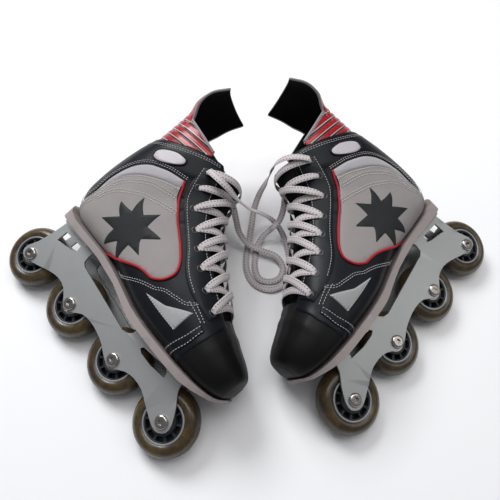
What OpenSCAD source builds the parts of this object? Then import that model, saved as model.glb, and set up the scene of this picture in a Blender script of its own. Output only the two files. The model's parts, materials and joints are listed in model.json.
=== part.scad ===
// Pair of in-line hockey skates, lying on their inner sides with the laces tied together.
// Each skate is drawn upright in its own frame: +X forward, +Y to the outer side, +Z up from
// the bottom of the wheels, with X = 0 halfway between the two middle axles. Lengths in mm.

/* [Wheels] */
// Diameter of a wheel
wheel_d = 72; // [68:1:74]
// Width of a tyre
tyre_w = 24; // [22:0.5:24]
// Distance between neighbouring axles
axle_pitch = 83; // [82:0.5:84]
// Diameter of the hub's outer ring
hub_d = 43; // [40:1:46]
// Spokes in a hub
spokes = 5; // [4:1:7]

/* [Frame] */
// Distance between the inner faces of the side plates
frame_gap = 26; // [25.5:0.5:27]
// Thickness of the side plates and decks
plate_t = 2.5; // [2:0.1:3]
// Width of the decks that carry the boot
deck_w = 57; // [50:1:58]

/* [Boot] */
// Thickness of the black upper
shell_t = 3; // [2:0.5:3]
// Thickness of the lining
lining_t = 2.6; // [2:0.2:3]
// Thickness of the tongue
tongue_t = 5; // [4:0.5:6]
// Width of the flat lace
lace_w = 8; // [6:0.5:9]
// Thickness of the flat lace
lace_t = 1.4; // [1:0.1:1.6]

/* [Hidden] */
SIDES = ["right", "left"];
WHEELS = [1:4];

// How each skate lies: the lean of the boot's middle plane from the floor, the turn of its toe,
// and where the middle of its wheelbase is
lean = 18;
rest_h = 19.8;
right_turn = -49.6;
left_turn = 227.7;
right_at = [-178.8, -75.7, rest_h];
left_at = [175.6, -61.1, rest_h];

// Axles and bearings
axle_z = 36;
bolt_r = 4;
fit = 0.05;
bearing_r = 11;
bearing_w = 7;
race_r = 6.1;
shield_t = 0.6;
outer_race_r = 9;
bearing_out = 12;
plate_y = frame_gap / 2;
skin_y = plate_y + plate_t;
round_fn = 72;

// Stations of the boot from the toe to the cuff. Each one is a section between a point at the
// bottom or back and a point at the front: back x, z, front x, z, outer and inner half width,
// where the section is widest, and how square it is in front of and behind that.
BOOT = [
    [153, 98, 154, 117, 17, 16, 0.55, 2.4, 2.8],
    [149, 94, 151, 125, 28, 25, 0.58, 2.4, 3.2],
    [139, 91, 141, 132, 38, 33, 0.60, 2.4, 3.6],
    [122, 89, 123, 140, 45, 38, 0.62, 2.4, 4.0],
    [100, 88, 100, 150, 48, 41, 0.62, 2.4, 4.2],
    [76, 88, 80, 164, 49, 42, 0.64, 2.3, 4.2],
    [50, 88, 60, 176, 48, 41, 0.66, 2.3, 4.2],
    [20, 90, 42, 190, 45, 40, 0.68, 2.3, 4.0],
    [-10, 96, 26, 203, 42, 38, 0.68, 2.3, 3.6],
    [-46, 102, 12, 215, 39, 37, 0.66, 2.3, 3.2],
    [-86, 103, 2, 226, 38, 37, 0.62, 2.3, 2.9],
    [-120, 106, -6, 236, 37, 37, 0.58, 2.3, 2.5],
    [-136, 124, -12, 245, 37, 37, 0.54, 2.3, 2.4],
    [-139, 156, -18, 253, 37, 36, 0.52, 2.3, 2.3],
    [-135, 192, -24, 260, 36, 35, 0.52, 2.3, 2.3],
    [-127, 229, -32, 267, 35, 34, 0.52, 2.3, 2.3]
];
// Stations of the tendon guard: its foot, the top of its ribbed sides, then the flap behind
GUARD = [
    [-125, 231.5, -30, 269.5, 34, 33, 0.52, 2.3, 2.3],
    [-124, 257, -31, 266, 33, 32, 0.52, 2.3, 2.3],
    [-124, 283, -32, 263, 32, 31, 0.52, 2.3, 2.3],
    [-122, 299, -45, 290, 46, 46, 0.50, 2.3, 2.3],
    [-114, 316, -50, 309, 51, 51, 0.50, 2.3, 2.3],
    [-101, 332, -42, 327, 50, 50, 0.50, 2.3, 2.3]
];
guard_q = 0.3;
sides_top = 2;
flap_top = 5;
cap_end = 4.5;
collar_s = 11.5;
cuff = 15;
throat_q = 0.17;
wrap_steps = 22;
seam = 0.012;
EYELETS = [4.65, 5.7, 6.75, 7.75, 8.8, 10.2, 12, 13.6];
eyelet_q = 0.26;
tongue_top = 13.6;

// Lower edge of a frame plate, from its rear top corner round the wheels to its front one
FRAME_EDGE = [
    [-122, 93], [-125, 73], [-130, 52], [-136, 39], [-135, 31], [-127, 27.5], [-118, 30],
    [-106, 34], [-91, 40], [-76, 43.5], [-62, 41], [-50, 32], [-41.5, 28.5], [-32, 32],
    [-22, 39.5], [-8, 41.5], [6, 40], [20, 36], [30, 31], [41.5, 27.5], [50, 31], [60, 38],
    [72, 41], [86, 40], [98, 35], [110, 30], [121, 26], [129, 26.5], [135, 33], [133, 43],
    [124, 56], [114, 67], [110, 78]
];
FRAME_TOP = [
    [36, 78], [35, 69], [31, 64.5], [24, 62.5], [-63, 73.5], [-68, 77], [-69.5, 85], [-67, 93]
];
REAR_WINDOW = [[-113, 83], [-86, 85], [-85, 77], [-92, 74], [-114, 69]];
FRONT_WINDOW = [[53, 65], [55, 68.5], [69, 70.5], [88, 73.5], [92, 70], [94, 65], [75, 62], [58, 62.5]];
rear_deck_z = 92.4;
front_deck_z = 77.4;
REAR_DECK_X = [-121, -67];
FRONT_DECK_X = [36, 110];
RIVETS = [[-112, rear_deck_z], [-78, rear_deck_z], [48, front_deck_z], [100, front_deck_z]];
rivet_y = 22;
rivet_r = 2.45;
rivet_l = 7;

// Outsole: its underside in the side view and its two edges seen from above
SOLE_UNDER = [
    [-134, 98], [-131, 95], [-66, 95], [-51, 94.6], [-15, 90], [20, 81.5], [30, 80], [112, 80],
    [127, 83], [145, 88], [156, 94]
];
SOLE_OUTER = [
    [156, 0], [154, 14], [149, 25], [138, 34], [120, 41], [95, 45], [70, 45], [42, 42], [12, 37],
    [-18, 34], [-50, 33], [-80, 34], [-104, 33], [-122, 27], [-132, 15], [-134, 0]
];
SOLE_INNER = [
    [156, 0], [154, -13], [149, -23], [137, -30], [118, -33], [90, -34], [60, -33.5], [30, -31],
    [0, -29], [-30, -29], [-70, -32], [-100, -32], [-121, -26], [-132, -15], [-134, 0]
];

// Routes of the two free strands of lace that tie the skates together, lying as they fell:
// each leaves a top eyelet of the right skate, loops on the floor and ends at the left one
OUTER_LACE = [
    [-56, 76, 116], [-48, 64, 120], [-37, 55, 115], [-25, 51, 98], [-10, 58, 68], [7, 69, 41],
    [23, 72, 21], [36, 60, 10], [43, 38, 2], [44, 11, 1.6], [36, -8, 1.6], [18, -17, 1.6],
    [-1, -9, 1.6], [-10, 10, 1.6], [-10, 32, 1.6], [-6, 53, 5], [-3, 70, 13], [0, 86, 25],
    [6, 98, 41], [13, 102, 60], [17, 101, 80], [20, 99, 99], [30, 96, 114], [44, 94, 119],
    [58, 94, 116]
];
INNER_LACE = [
    [-42, 88, 57], [-35, 82, 57], [-28, 73, 51], [-24, 62, 37], [-19, 51, 22], [-7, 41, 11],
    [10, 34, 8], [27, 27, 6], [35, 13, 3], [30, -1, 1.6], [17, -6, 1.6], [5, -2, 1.6],
    [0, 12, 1.6], [1, 29, 1.6], [4, 44, 2.5], [12, 56, 8], [22, 62, 16], [31, 67, 26],
    [36, 78, 38], [38, 92, 49], [44, 106, 57]
];

// ---------- functions ----------

function mix(a, b, t) = a + (b - a) * t;
function unit(v) = v / norm(v);

// Smooth curve through four neighbours, at u between the middle two
function through(a, b, c, d, u) =
    0.5 * (2 * b + (c - a) * u + (2 * a - 5 * b + 4 * c - d) * u * u
           + (3 * b - a - 3 * c + d) * u * u * u);

// The row of a table before, at or past its ends
function entry(rows, k) =
    k < 0 ? 2 * rows[0] - rows[1] :
    k >= len(rows) ? 2 * rows[len(rows) - 1] - rows[len(rows) - 2] : rows[k];

// A table read at a fraction s of its rows
function at(rows, s) =
    let (i = max(0, min(floor(s), len(rows) - 2)))
    through(entry(rows, i - 1), entry(rows, i), entry(rows, i + 1), entry(rows, i + 2), s - i);

// A smooth line through points, with `steps` pieces between two of them
function smooth(points, steps) =
    [for (i = [0:(len(points) - 1) * steps]) at(points, i / steps)];

// Point of a superellipse's quarter at angle a: [along, across]
function corner(a, n) =
    let (r = pow(pow(sin(a), n) + pow(cos(a), n), 1 / n)) [sin(a) / r, cos(a) / r];

// Point of a boot surface: s along the stations, q round the section (0 at the front, positive
// on the outer side, 1 at the bottom or back), off = distance outward from the surface
function skin(rows, s, q, off) =
    let (
        turn = q > 1 ? q - 2 : q,
        t = abs(turn),
        row = at(rows, s),
        back = [row[0], row[1]],
        front = [row[2], row[3]],
        way = unit(back - front),
        half = (turn < 0 ? row[5] : row[4]) + off,
        a = t <= 0.5 ? corner(t * 180, row[7]) : corner((t - 0.5) * 180, row[8]),
        y = half * (t <= 0.5 ? a[0] : a[1]),
        v = t <= 0.5 ? row[6] * (1 - a[1]) : row[6] + (1 - row[6]) * a[0],
        p = mix(front - way * off, back + way * off, v)
    )
    [p[0], turn < 0 ? -y : y, p[1]];

// Outward direction of the boot's surface
function outward(rows, s, q) =
    unit(cross(skin(rows, s + 0.05, q, 0) - skin(rows, s - 0.05, q, 0),
               skin(rows, s, q + 0.01, 0) - skin(rows, s, q - 0.01, 0)));

// Height of the tongue's outer face over the boot's surface, and its half width in q
function tongue_off(s) =
    lookup(s, [[4, -7], [8, -6], [9.5, -2], [10.5, 3], [11.5, 7], [12.5, 10], [14, 15]]);
function tongue_q(s) = lookup(s, [[4, 0.2], [8, 0.19], [9, 0.13], [10.5, 0.13], [14, 0.16]]);

// Face between four points of a grid of m columns, with the first at place k of its list, and
// the same face seen from behind
function face(k, m) = [k, k + m, k + m + 1, k + 1];
function back_face(k, m) = [k, k + 1, k + m + 1, k + m];

// Edge face between the outer points a and b of a solid and the inner ones, d places on
function edge(a, b, d) = [a, b, b + d, a + d];

// ---------- general shapes ----------

// Closed sheet between an outer and an inner grid of points, both [row][column]
module sheet(outer, inner) {
    n = len(outer);
    m = len(outer[0]);
    d = n * m;
    last = d - m;
    points = concat([for (r = outer) for (p = r) p], [for (r = inner) for (p = r) p]);
    top = [for (i = [0:n - 2]) for (j = [0:m - 2]) face(i * m + j, m)];
    under = [for (i = [0:n - 2]) for (j = [0:m - 2]) back_face(d + i * m + j, m)];
    ends = [for (j = [0:m - 2]) each [edge(j, j + 1, d), edge(last + j + 1, last + j, d)]];
    sides = [for (i = [0:n - 2]) let (a = i * m, b = a + m - 1)
        each [edge(a + m, a, d), edge(b, b + m, d)]];
    polyhedron(points, concat(top, under, ends, sides), convexity = 10);
}

// Cup open at its last row: closed rings of points, each grid closed at its first row
module cup(outer, inner) {
    n = len(outer);
    m = len(outer[0]);
    d = n * m;
    points = concat([for (r = outer) for (p = r) p], [for (r = inner) for (p = r) p]);
    walls = [for (i = [0:n - 2]) for (j = [0:m - 1]) let (a = i * m + j, b = i * m + (j + 1) % m)
        each [[a, a + m, b + m, b], [d + a, d + b, d + b + m, d + a + m]]];
    rim = [for (j = [0:m - 1]) let (a = d - m + j, b = d - m + (j + 1) % m) edge(b, a, d)];
    noses = [[for (j = [0:m - 1]) j], [for (j = [m - 1:-1:0]) d + j]];
    polyhedron(points, concat(walls, rim, noses), convexity = 10);
}

// Bar swept through rings of points, closed at both ends
module bar(rings) {
    m = len(rings[0]);
    n = len(rings);
    sides = [for (i = [0:n - 2]) for (j = [0:m - 1]) let (
            a = i * m + j,
            b = i * m + (j + 1) % m)
        each [[a, b, b + m], [a, b + m, a + m]]];
    ends = [[for (j = [m - 1:-1:0]) j], [for (j = [0:m - 1]) (n - 1) * m + j]];
    polyhedron([for (r = rings) for (p = r) p], concat(sides, ends), convexity = 10);
}

// Stretch of the boot's wall: rows s0 to s1, columns q0 to q1, between two offsets
module wall(rows, s0, s1, q0, q1, out, in, n, m) {
    grids = [for (off = [out, in]) [for (i = [0:n]) [for (j = [0:m])
        skin(rows, mix(s0, s1, i / n), mix(q0, q1, j / m), off)]]];
    sheet(grids[0], grids[1]);
}

// Outline in the side view made t thick, from y outward
module plate(y, t) {
    translate([0, y + t, 0]) rotate([90, 0, 0]) linear_extrude(t) children();
}

// Turned profile [radius, place along the axle] about an axle lying along Y
module turned(profile) {
    rotate([-90, 0, 0]) rotate_extrude($fn = round_fn) polygon(profile);
}

// Ring about an axle, from y0 to y1
module ring(outer_r, inner_r, y0, y1) {
    turned([[inner_r, y0], [outer_r, y0], [outer_r, y1], [inner_r, y1]]);
}

module on_axle(i) {
    translate([(i - 2.5) * axle_pitch, 0, axle_z]) children();
}

module on_axles() {
    for (i = WHEELS) on_axle(i) children();
}

// Lays one skate down in its place
module skate(side) {
    if (side == "left")
        translate(left_at) rotate([0, 0, left_turn]) rotate([90 - lean, 0, 0])
            translate([0, 0, -axle_z]) children();
    else
        translate(right_at) rotate([0, 0, right_turn]) rotate([lean - 90, 0, 0])
            translate([0, 0, -axle_z]) mirror([0, 1, 0]) children();
}

// ---------- wheels ----------

module tyre() {
    crown = wheel_d / 2 - 26;
    bead = tyre_w / 2 - 1.5;
    tread = [for (a = [0:10:180]) [26 + crown * sin(a), tyre_w / 2 * cos(a)]];
    color("darkgoldenrod")
        turned(concat([[hub_d / 2 + 0.1, bead]], tread, [[hub_d / 2 + 0.1, -bead]]));
}

module hub() {
    rim_r = hub_d / 2;
    core_r = bearing_r + 2.2;
    half = bearing_out;
    color("black") difference() {
        union() {
            ring(rim_r, rim_r - 2.2, 1.5 - half, half - 1.5);
            turned([[bearing_r + fit, -half], [core_r, -half], [core_r, half], [bearing_r + fit, half],
                    [bearing_r + fit, half - bearing_w], [8, half - bearing_w],
                    [8, bearing_w - half], [bearing_r + fit, bearing_w - half]]);
            for (k = [0:spokes - 1]) rotate([0, k * 360 / spokes, 0])
                translate([core_r - 0.6, -half + 3, -2.2]) cube([rim_r - core_r - 1, 2 * half - 6, 4.4]);
        }
        rotate([90, 0, 0]) cylinder(r = 8, h = 2 * half + 2, center = true, $fn = round_fn);
    }
}

// Outer race with its two shields, one at each end of the hub
module bearings() {
    color("silver") for (end = [-1, 1]) {
        mid = end * (bearing_out - bearing_w / 2);
        y0 = mid - bearing_w / 2;
        y1 = mid + bearing_w / 2;
        inside = race_r + fit;
        turned([[inside, y0], [bearing_r, y0], [bearing_r, y1], [inside, y1],
                [inside, y1 - shield_t], [outer_race_r, y1 - shield_t],
                [outer_race_r, y0 + shield_t], [inside, y0 + shield_t]]);
    }
}

module inner_races() {
    color("gainsboro") on_axles() for (end = [-1, 1]) {
        y0 = end * (bearing_out - bearing_w / 2) - bearing_w / 2;
        ring(race_r, bolt_r + fit, y0, y0 + bearing_w);
    }
}

module spacers() {
    reach = bearing_out - bearing_w - fit;
    color("silver") on_axles() ring(race_r - 0.2, bolt_r + fit, -reach, reach);
}

// ---------- frame ----------

module side_outline() {
    difference() {
        polygon(concat(smooth(FRAME_EDGE, 2), FRAME_TOP));
        polygon(REAR_WINDOW);
        polygon(FRONT_WINDOW);
    }
}

module deck(x, z) {
    cut = 6;
    half = deck_w / 2;
    translate([0, 0, z]) linear_extrude(plate_t) polygon([
        [x[0] + cut, -half], [x[1] - cut, -half], [x[1], -half + cut], [x[1], half - cut],
        [x[1] - cut, half], [x[0] + cut, half], [x[0], half - cut], [x[0], -half + cut]]);
}

module at_rivets() {
    for (r = RIVETS) for (y = [-rivet_y, rivet_y]) translate([r[0], y, r[1]]) children();
}

module frame() {
    color("lightgray") difference() {
        union() {
            plate(plate_y, plate_t) side_outline();
            plate(-plate_y - plate_t, plate_t) side_outline();
            deck(REAR_DECK_X, rear_deck_z);
            deck(FRONT_DECK_X, front_deck_z);
            on_axles() {
                ring(6, bolt_r + fit, bearing_out + fit, plate_y + 1);
                ring(6, bolt_r + fit, -plate_y - 1, -bearing_out - fit);
            }
        }
        on_axles() rotate([90, 0, 0]) cylinder(r = bolt_r + fit, h = 60, center = true, $fn = round_fn);
        at_rivets() translate([0, 0, -1]) cylinder(r = rivet_r + fit, h = 6, $fn = round_fn);
    }
}

module axle_bolts() {
    head_r = 7.4;
    head_h = 3.6;
    dome = [for (a = [0:15:90]) [head_r - 2.4 + 2.4 * cos(a), skin_y + head_h - 2.4 + 2.4 * sin(a)]];
    color("whitesmoke") on_axles() difference() {
        turned(concat([[0, -skin_y - 3], [bolt_r, -skin_y - 3], [bolt_r, skin_y + 0.05]],
                      [[head_r, skin_y + 0.05]], dome, [[0, skin_y + head_h]]));
        translate([0, skin_y + head_h + 1, 0]) rotate([90, 30, 0]) cylinder(r = 3, h = 3.6, $fn = 6);
    }
}

module axle_nuts() {
    color("silver") on_axles() ring(6.4, bolt_r + 0.03, -skin_y - 3, -skin_y - 0.05);
}

module rivets() {
    head = [for (a = [-90:15:0]) [4 * cos(a), 1.6 * sin(a) - 0.05]];
    color("silver") at_rivets() rotate_extrude($fn = round_fn)
        polygon(concat(head, [[rivet_r, -0.05], [rivet_r, rivet_l], [0, rivet_l]]));
}

// ---------- boot ----------

module outsole() {
    upper = [for (s = [0.5:0.5:11]) let (row = at(BOOT, s)) [row[0], row[1] - 0.3]];
    outline = concat([[156, 97.5], [154, 97.5]], upper, [[-128, 109.5], [-134, 111]], SOLE_UNDER);
    inner_edge = [for (i = [len(SOLE_INNER) * 2 - 3:-1:1]) at(SOLE_INNER, i / 2)];
    color("whitesmoke") difference() {
        intersection() {
            plate(-60, 120) polygon(outline);
            translate([0, 0, 60]) linear_extrude(80)
                polygon(concat(smooth(SOLE_OUTER, 2), inner_edge));
        }
        at_rivets() cylinder(r = rivet_r + fit, h = rivet_l + 0.6, $fn = round_fn);
    }
}

module footbed() {
    color("dimgray") wall(BOOT, 1.5, 10.5, 0.78, 1.22, -6.8, -10.3, 12, 6);
}

module shell() {
    color("black") wall(BOOT, cap_end + seam, cuff, throat_q, 2 - throat_q, 0, -shell_t, 21, wrap_steps);
}

module toe_cap() {
    rings = 9;
    round_q = 24;
    grids = [for (layer = [[0, 0], [0.3, -4]]) [for (i = [0:rings]) [for (j = [0:round_q - 1])
        skin(BOOT, mix(layer[0], cap_end, i / rings), j * 2 / round_q, layer[1])]]];
    color("black") cup(grids[0], grids[1]);
}

// Grey panel on each side, between the piping in front of it and its rounded top at the heel
module side_panels() {
    front_s = [
        [0.34, 8.2], [0.38, 7.2], [0.46, 7.3], [0.57, 8], [0.71, 8.7], [0.82, 9.2], [0.92, 9.6]];
    back_s = [
        [0.34, 12.3], [0.44, 13], [0.53, 13.3], [0.6, 13.3], [0.69, 12.6], [0.76, 11.9], [0.92, 11.4]];
    columns = [for (j = [0:8]) mix(0.34, 0.92, j / 8)];
    color("silver") for (way = [1, -1]) {
        qs = way > 0 ? columns : [for (j = [8:-1:0]) -columns[j]];
        grid = [0.4, 1.4];
        layers = [for (off = grid) [for (i = [0:8]) [for (q = qs)
            skin(BOOT, mix(lookup(abs(q), front_s), lookup(abs(q), back_s), i / 8), q, off)]]];
        sheet(layers[1], layers[0]);
    }
}

module collar_padding() {
    color("dimgray") wall(BOOT, collar_s + seam, cuff, throat_q, 2 - throat_q,
                          -shell_t - 0.3, -9.5, 7, wrap_steps);
}

module lining() {
    color("gray") wall(BOOT, cap_end + seam, collar_s, throat_q, 2 - throat_q,
                       -shell_t - 0.3, -shell_t - 0.3 - lining_t, 14, wrap_steps);
}

// Ribbed sides that end low, and a wide flap that goes on up behind the ankle
module tendon_guard() {
    rows = 10;
    half = [guard_q, 0.4, 0.5, 0.6, 0.66, 0.72, 0.79, 0.86, 0.93];
    columns = concat(half, [1], [for (k = [len(half) - 1:-1:0]) 2 - half[k]]);
    tops = [[0.66, sides_top], [0.72, flap_top]];
    grids = [for (deep = [0, -4]) [for (i = [0:rows]) [for (q = columns)
        skin(GUARD, lookup(min(q, 2 - q), tops) * i / rows, q, deep)]]];
    color("firebrick") sheet(grids[0], grids[1]);
}

module tongue() {
    rows = 16;
    columns = 6;
    grids = [for (deep = [0, -tongue_t]) [for (i = [0:rows]) let (
            s = mix(4.1, tongue_top, i / rows),
            w = tongue_q(s))
        [for (j = [0:columns]) skin(BOOT, s, mix(-w, w, j / columns), tongue_off(s) + deep)]]];
    color("dimgray") sheet(grids[0], grids[1]);
}

module eyelets() {
    color("dimgray") for (s = EYELETS) for (q = [-eyelet_q, eyelet_q]) {
        n = outward(BOOT, s, q);
        translate(skin(BOOT, s, q, 0.1)) rotate([0, acos(n[2]), atan2(n[1], n[0])])
            rotate_extrude($fn = 24) polygon([[2.2, 0], [4.2, 0], [4.2, 0.8], [2.2, 0.8]]);
    }
}

// One crossing of the lace, from the eyelet at s0 on one side to the one at s1 on the other
module crossing(s0, s1, way, lift) {
    steps = 8;
    top = max(2.2, tongue_off((s0 + s1) / 2) + 2.5) + lift;
    mid = [for (i = [0:steps]) let (
            f = i / steps,
            q = way * mix(eyelet_q, -eyelet_q, f),
            rise = 1 - pow(abs(2 * f - 1), 4))
        skin(BOOT, mix(s0, s1, f), q, mix(2.2, top, rise))];
    rings = [for (i = [0:steps]) let (
            f = i / steps,
            along = unit(mid[min(i + 1, steps)] - mid[max(i - 1, 0)]),
            out = outward(BOOT, mix(s0, s1, f), way * mix(eyelet_q, -eyelet_q, f)),
            across = unit(cross(along, out)) * lace_w / 2,
            deep = unit(cross(across, along)) * lace_t / 2)
        [mid[i] + across + deep, mid[i] - across + deep, mid[i] - across - deep, mid[i] + across - deep]];
    bar(rings);
}

module lace() {
    color("white") {
        last = len(EYELETS) - 1;
        crossing(EYELETS[0], EYELETS[0], 1, 0);
        for (k = [0:last - 1]) crossing(EYELETS[k], EYELETS[k + 1], -1, 0);
        for (k = [0:last - 2]) crossing(EYELETS[k], EYELETS[k + 1], 1, 2.6);
    }
}

// Free strand: a flat eight-sided tube along its route
module free_lace(route, rings) {
    flat = [[1, 0], [0.8, 0.7], [0, 1], [-0.8, 0.7], [-1, 0], [-0.8, -0.7], [0, -1], [0.8, -0.7]];
    path = [for (i = [0:rings - 1]) at(route, i / (rings - 1) * (len(route) - 1))];
    color("white") bar([for (i = [0:rings - 1]) let (
            along = unit(path[min(i + 1, rings - 1)] - path[max(i - 1, 0)]),
            across = unit(cross(along, [0, 0, 1])),
            deep = cross(across, along))
        [for (c = flat) path[i] + across * c[0] * lace_w / 2 + deep * c[1]]]);
}

// ---------- what is drawn ----------

for (side = SIDES) {
    for (i = WHEELS) {
        skate(side) on_axle(i) tyre();
        skate(side) on_axle(i) hub();
        skate(side) on_axle(i) bearings();
    }
    skate(side) frame();
    skate(side) axle_bolts();
    skate(side) axle_nuts();
    skate(side) inner_races();
    skate(side) spacers();
    skate(side) rivets();
    skate(side) outsole();
    skate(side) footbed();
    skate(side) shell();
    skate(side) toe_cap();
    skate(side) side_panels();
    skate(side) collar_padding();
    skate(side) tendon_guard();
    skate(side) tongue();
    skate(side) eyelets();
    skate(side) lace();
    skate(side) lining();
}
free_lace(OUTER_LACE, 45);  // outer_free_lace
free_lace(INNER_LACE, 35);  // inner_free_lace
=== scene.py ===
import json
import math

import bmesh
import bpy
import numpy as np
from mathutils import Matrix, Vector, geometry


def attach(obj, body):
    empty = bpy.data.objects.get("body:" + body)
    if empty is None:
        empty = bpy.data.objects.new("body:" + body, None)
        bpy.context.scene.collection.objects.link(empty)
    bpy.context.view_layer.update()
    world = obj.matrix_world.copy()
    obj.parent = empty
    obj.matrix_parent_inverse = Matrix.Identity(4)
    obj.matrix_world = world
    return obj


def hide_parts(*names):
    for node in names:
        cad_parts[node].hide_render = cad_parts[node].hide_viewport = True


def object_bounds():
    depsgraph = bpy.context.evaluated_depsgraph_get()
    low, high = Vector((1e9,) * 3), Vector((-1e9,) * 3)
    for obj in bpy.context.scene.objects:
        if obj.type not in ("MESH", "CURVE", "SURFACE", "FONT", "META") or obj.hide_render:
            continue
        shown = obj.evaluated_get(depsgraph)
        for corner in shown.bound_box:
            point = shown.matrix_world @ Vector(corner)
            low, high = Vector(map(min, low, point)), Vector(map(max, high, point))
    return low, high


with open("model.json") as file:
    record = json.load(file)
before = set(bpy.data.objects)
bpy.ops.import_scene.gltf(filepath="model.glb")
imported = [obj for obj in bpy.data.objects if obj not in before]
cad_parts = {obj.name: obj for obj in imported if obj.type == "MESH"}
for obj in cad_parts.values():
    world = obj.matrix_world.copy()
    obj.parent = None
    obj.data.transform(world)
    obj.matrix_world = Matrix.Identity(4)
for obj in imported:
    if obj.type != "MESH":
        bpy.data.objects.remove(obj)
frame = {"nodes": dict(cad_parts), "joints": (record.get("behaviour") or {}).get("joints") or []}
CAD_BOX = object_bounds()
NODES = frame["nodes"]
JOINTS = {j["name"]: j for j in frame["joints"]}
SIDES = ("right", "left")
STATIC = "pair"

# ---------------------------------------------------------------- the boot's own surface, in mm
# Stations from toe to cuff, in mm: back x, z, front x, z, outer and inner half width, widest place,
# squareness in front of it and behind it. The same tables shape the CAD solids.
BOOT = np.array([
    [153, 98, 154, 117, 17, 16, 0.55, 2.4, 2.8], [149, 94, 151, 125, 28, 25, 0.58, 2.4, 3.2],
    [139, 91, 141, 132, 38, 33, 0.60, 2.4, 3.6], [122, 89, 123, 140, 45, 38, 0.62, 2.4, 4.0],
    [100, 88, 100, 150, 48, 41, 0.62, 2.4, 4.2], [76, 88, 80, 164, 49, 42, 0.64, 2.3, 4.2],
    [50, 88, 60, 176, 48, 41, 0.66, 2.3, 4.2], [20, 90, 42, 190, 45, 40, 0.68, 2.3, 4.0],
    [-10, 96, 26, 203, 42, 38, 0.68, 2.3, 3.6], [-46, 102, 12, 215, 39, 37, 0.66, 2.3, 3.2],
    [-86, 103, 2, 226, 38, 37, 0.62, 2.3, 2.9], [-120, 106, -6, 236, 37, 37, 0.58, 2.3, 2.5],
    [-136, 124, -12, 245, 37, 37, 0.54, 2.3, 2.4], [-139, 156, -18, 253, 37, 36, 0.52, 2.3, 2.3],
    [-135, 192, -24, 260, 36, 35, 0.52, 2.3, 2.3], [-127, 229, -32, 267, 35, 34, 0.52, 2.3, 2.3]])
GUARD = np.array([
    [-125, 231.5, -30, 269.5, 34, 33, 0.52, 2.3, 2.3], [-124, 257, -31, 266, 33, 32, 0.52, 2.3, 2.3],
    [-124, 283, -32, 263, 32, 31, 0.52, 2.3, 2.3], [-122, 299, -45, 290, 46, 46, 0.50, 2.3, 2.3],
    [-114, 316, -50, 309, 51, 51, 0.50, 2.3, 2.3], [-101, 332, -42, 327, 50, 50, 0.50, 2.3, 2.3]])
EYELETS = [4.65, 5.7, 6.75, 7.75, 8.8, 10.2, 12, 13.6]
EYELET_Q = 0.26
LACE_W = 8.0
AXLE_GAP = 83.0
STRAND_LIFT = 2.2
OVER_LIFT = 2.6
RIB_FOOT = 236.5
RIB_RISE = 0.05
RIB_PITCH = 8.6
GROOVE = 0.2
GROOVE_DEPTH = 0.8
RIB_HEIGHT = 0.45

# The free laces' routes, the same points as the CAD's, in metres
OUTER_LACE = [(x / 1000, y / 1000, z / 1000) for x, y, z in (
    (-56, 76, 116), (-48, 64, 120), (-37, 55, 115), (-25, 51, 98), (-10, 58, 68), (7, 69, 41),
    (23, 72, 21), (36, 60, 10), (43, 38, 2), (44, 11, 1.6), (36, -8, 1.6), (18, -17, 1.6),
    (-1, -9, 1.6), (-10, 10, 1.6), (-10, 32, 1.6), (-6, 53, 5), (-3, 70, 13), (0, 86, 25),
    (6, 98, 41), (13, 102, 60), (17, 101, 80), (20, 99, 99), (30, 96, 114), (44, 94, 119),
    (58, 94, 116))]
INNER_LACE = [(x / 1000, y / 1000, z / 1000) for x, y, z in (
    (-42, 88, 57), (-35, 82, 57), (-28, 73, 51), (-24, 62, 37), (-19, 51, 22), (-7, 41, 11),
    (10, 34, 8), (27, 27, 6), (35, 13, 3), (30, -1, 1.6), (17, -6, 1.6), (5, -2, 1.6),
    (0, 12, 1.6), (1, 29, 1.6), (4, 44, 2.5), (12, 56, 8), (22, 62, 16), (31, 67, 26),
    (36, 78, 38), (38, 92, 49), (44, 106, 57))]


def unit(v):
    v = np.asarray(v, float)
    return v / np.maximum(np.linalg.norm(v, axis=-1, keepdims=True), 1e-9)


def around(q):
    """q that runs on past the heel, 1 to 2, as the inner side's own q, -1 to 0."""
    return np.where(q > 1, q - 2, q)


def catmull(rows, s):
    """Rows of a table read at fractions s, on a smooth curve through them."""
    rows = np.asarray(rows, float)
    s = np.asarray(s, float)
    ext = np.vstack([2 * rows[0] - rows[1], rows, 2 * rows[-1] - rows[-2]])
    i = np.clip(np.floor(s).astype(int), 0, len(rows) - 2)
    u = (s - i)[..., None]
    a, b, c, d = ext[i], ext[i + 1], ext[i + 2], ext[i + 3]
    return 0.5 * (2 * b + (c - a) * u + (2 * a - 5 * b + 4 * c - d) * u ** 2
                  + (3 * b - a - 3 * c + d) * u ** 3)


def skin(rows, s, q, off=0.0):
    """Point of a boot surface: s along the stations, q round (0 front, 1 back, outer side positive)."""
    s, q, off = np.broadcast_arrays(np.asarray(s, float), np.asarray(q, float), np.asarray(off, float))
    turn = (q + 1) % 2 - 1
    t = np.abs(turn)
    row = catmull(rows, s)
    back, front = row[..., 0:2], row[..., 2:4]
    way = unit(back - front)
    half = np.where(turn < 0, row[..., 5], row[..., 4]) + off
    a = np.where(t <= 0.5, t, t - 0.5) * np.pi
    n = np.where(t <= 0.5, row[..., 7], row[..., 8])
    sa, ca = np.abs(np.sin(a)), np.abs(np.cos(a))
    r = (sa ** n + ca ** n) ** (1 / n)
    along, across = sa / r, ca / r
    y = half * np.where(t <= 0.5, along, across)
    v = np.where(t <= 0.5, row[..., 6] * (1 - across), row[..., 6] + (1 - row[..., 6]) * along)
    p = (front - way * off[..., None]) * (1 - v)[..., None] + (back + way * off[..., None]) * v[..., None]
    return np.stack([p[..., 0], np.where(turn < 0, -y, y), p[..., 1]], -1)


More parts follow.
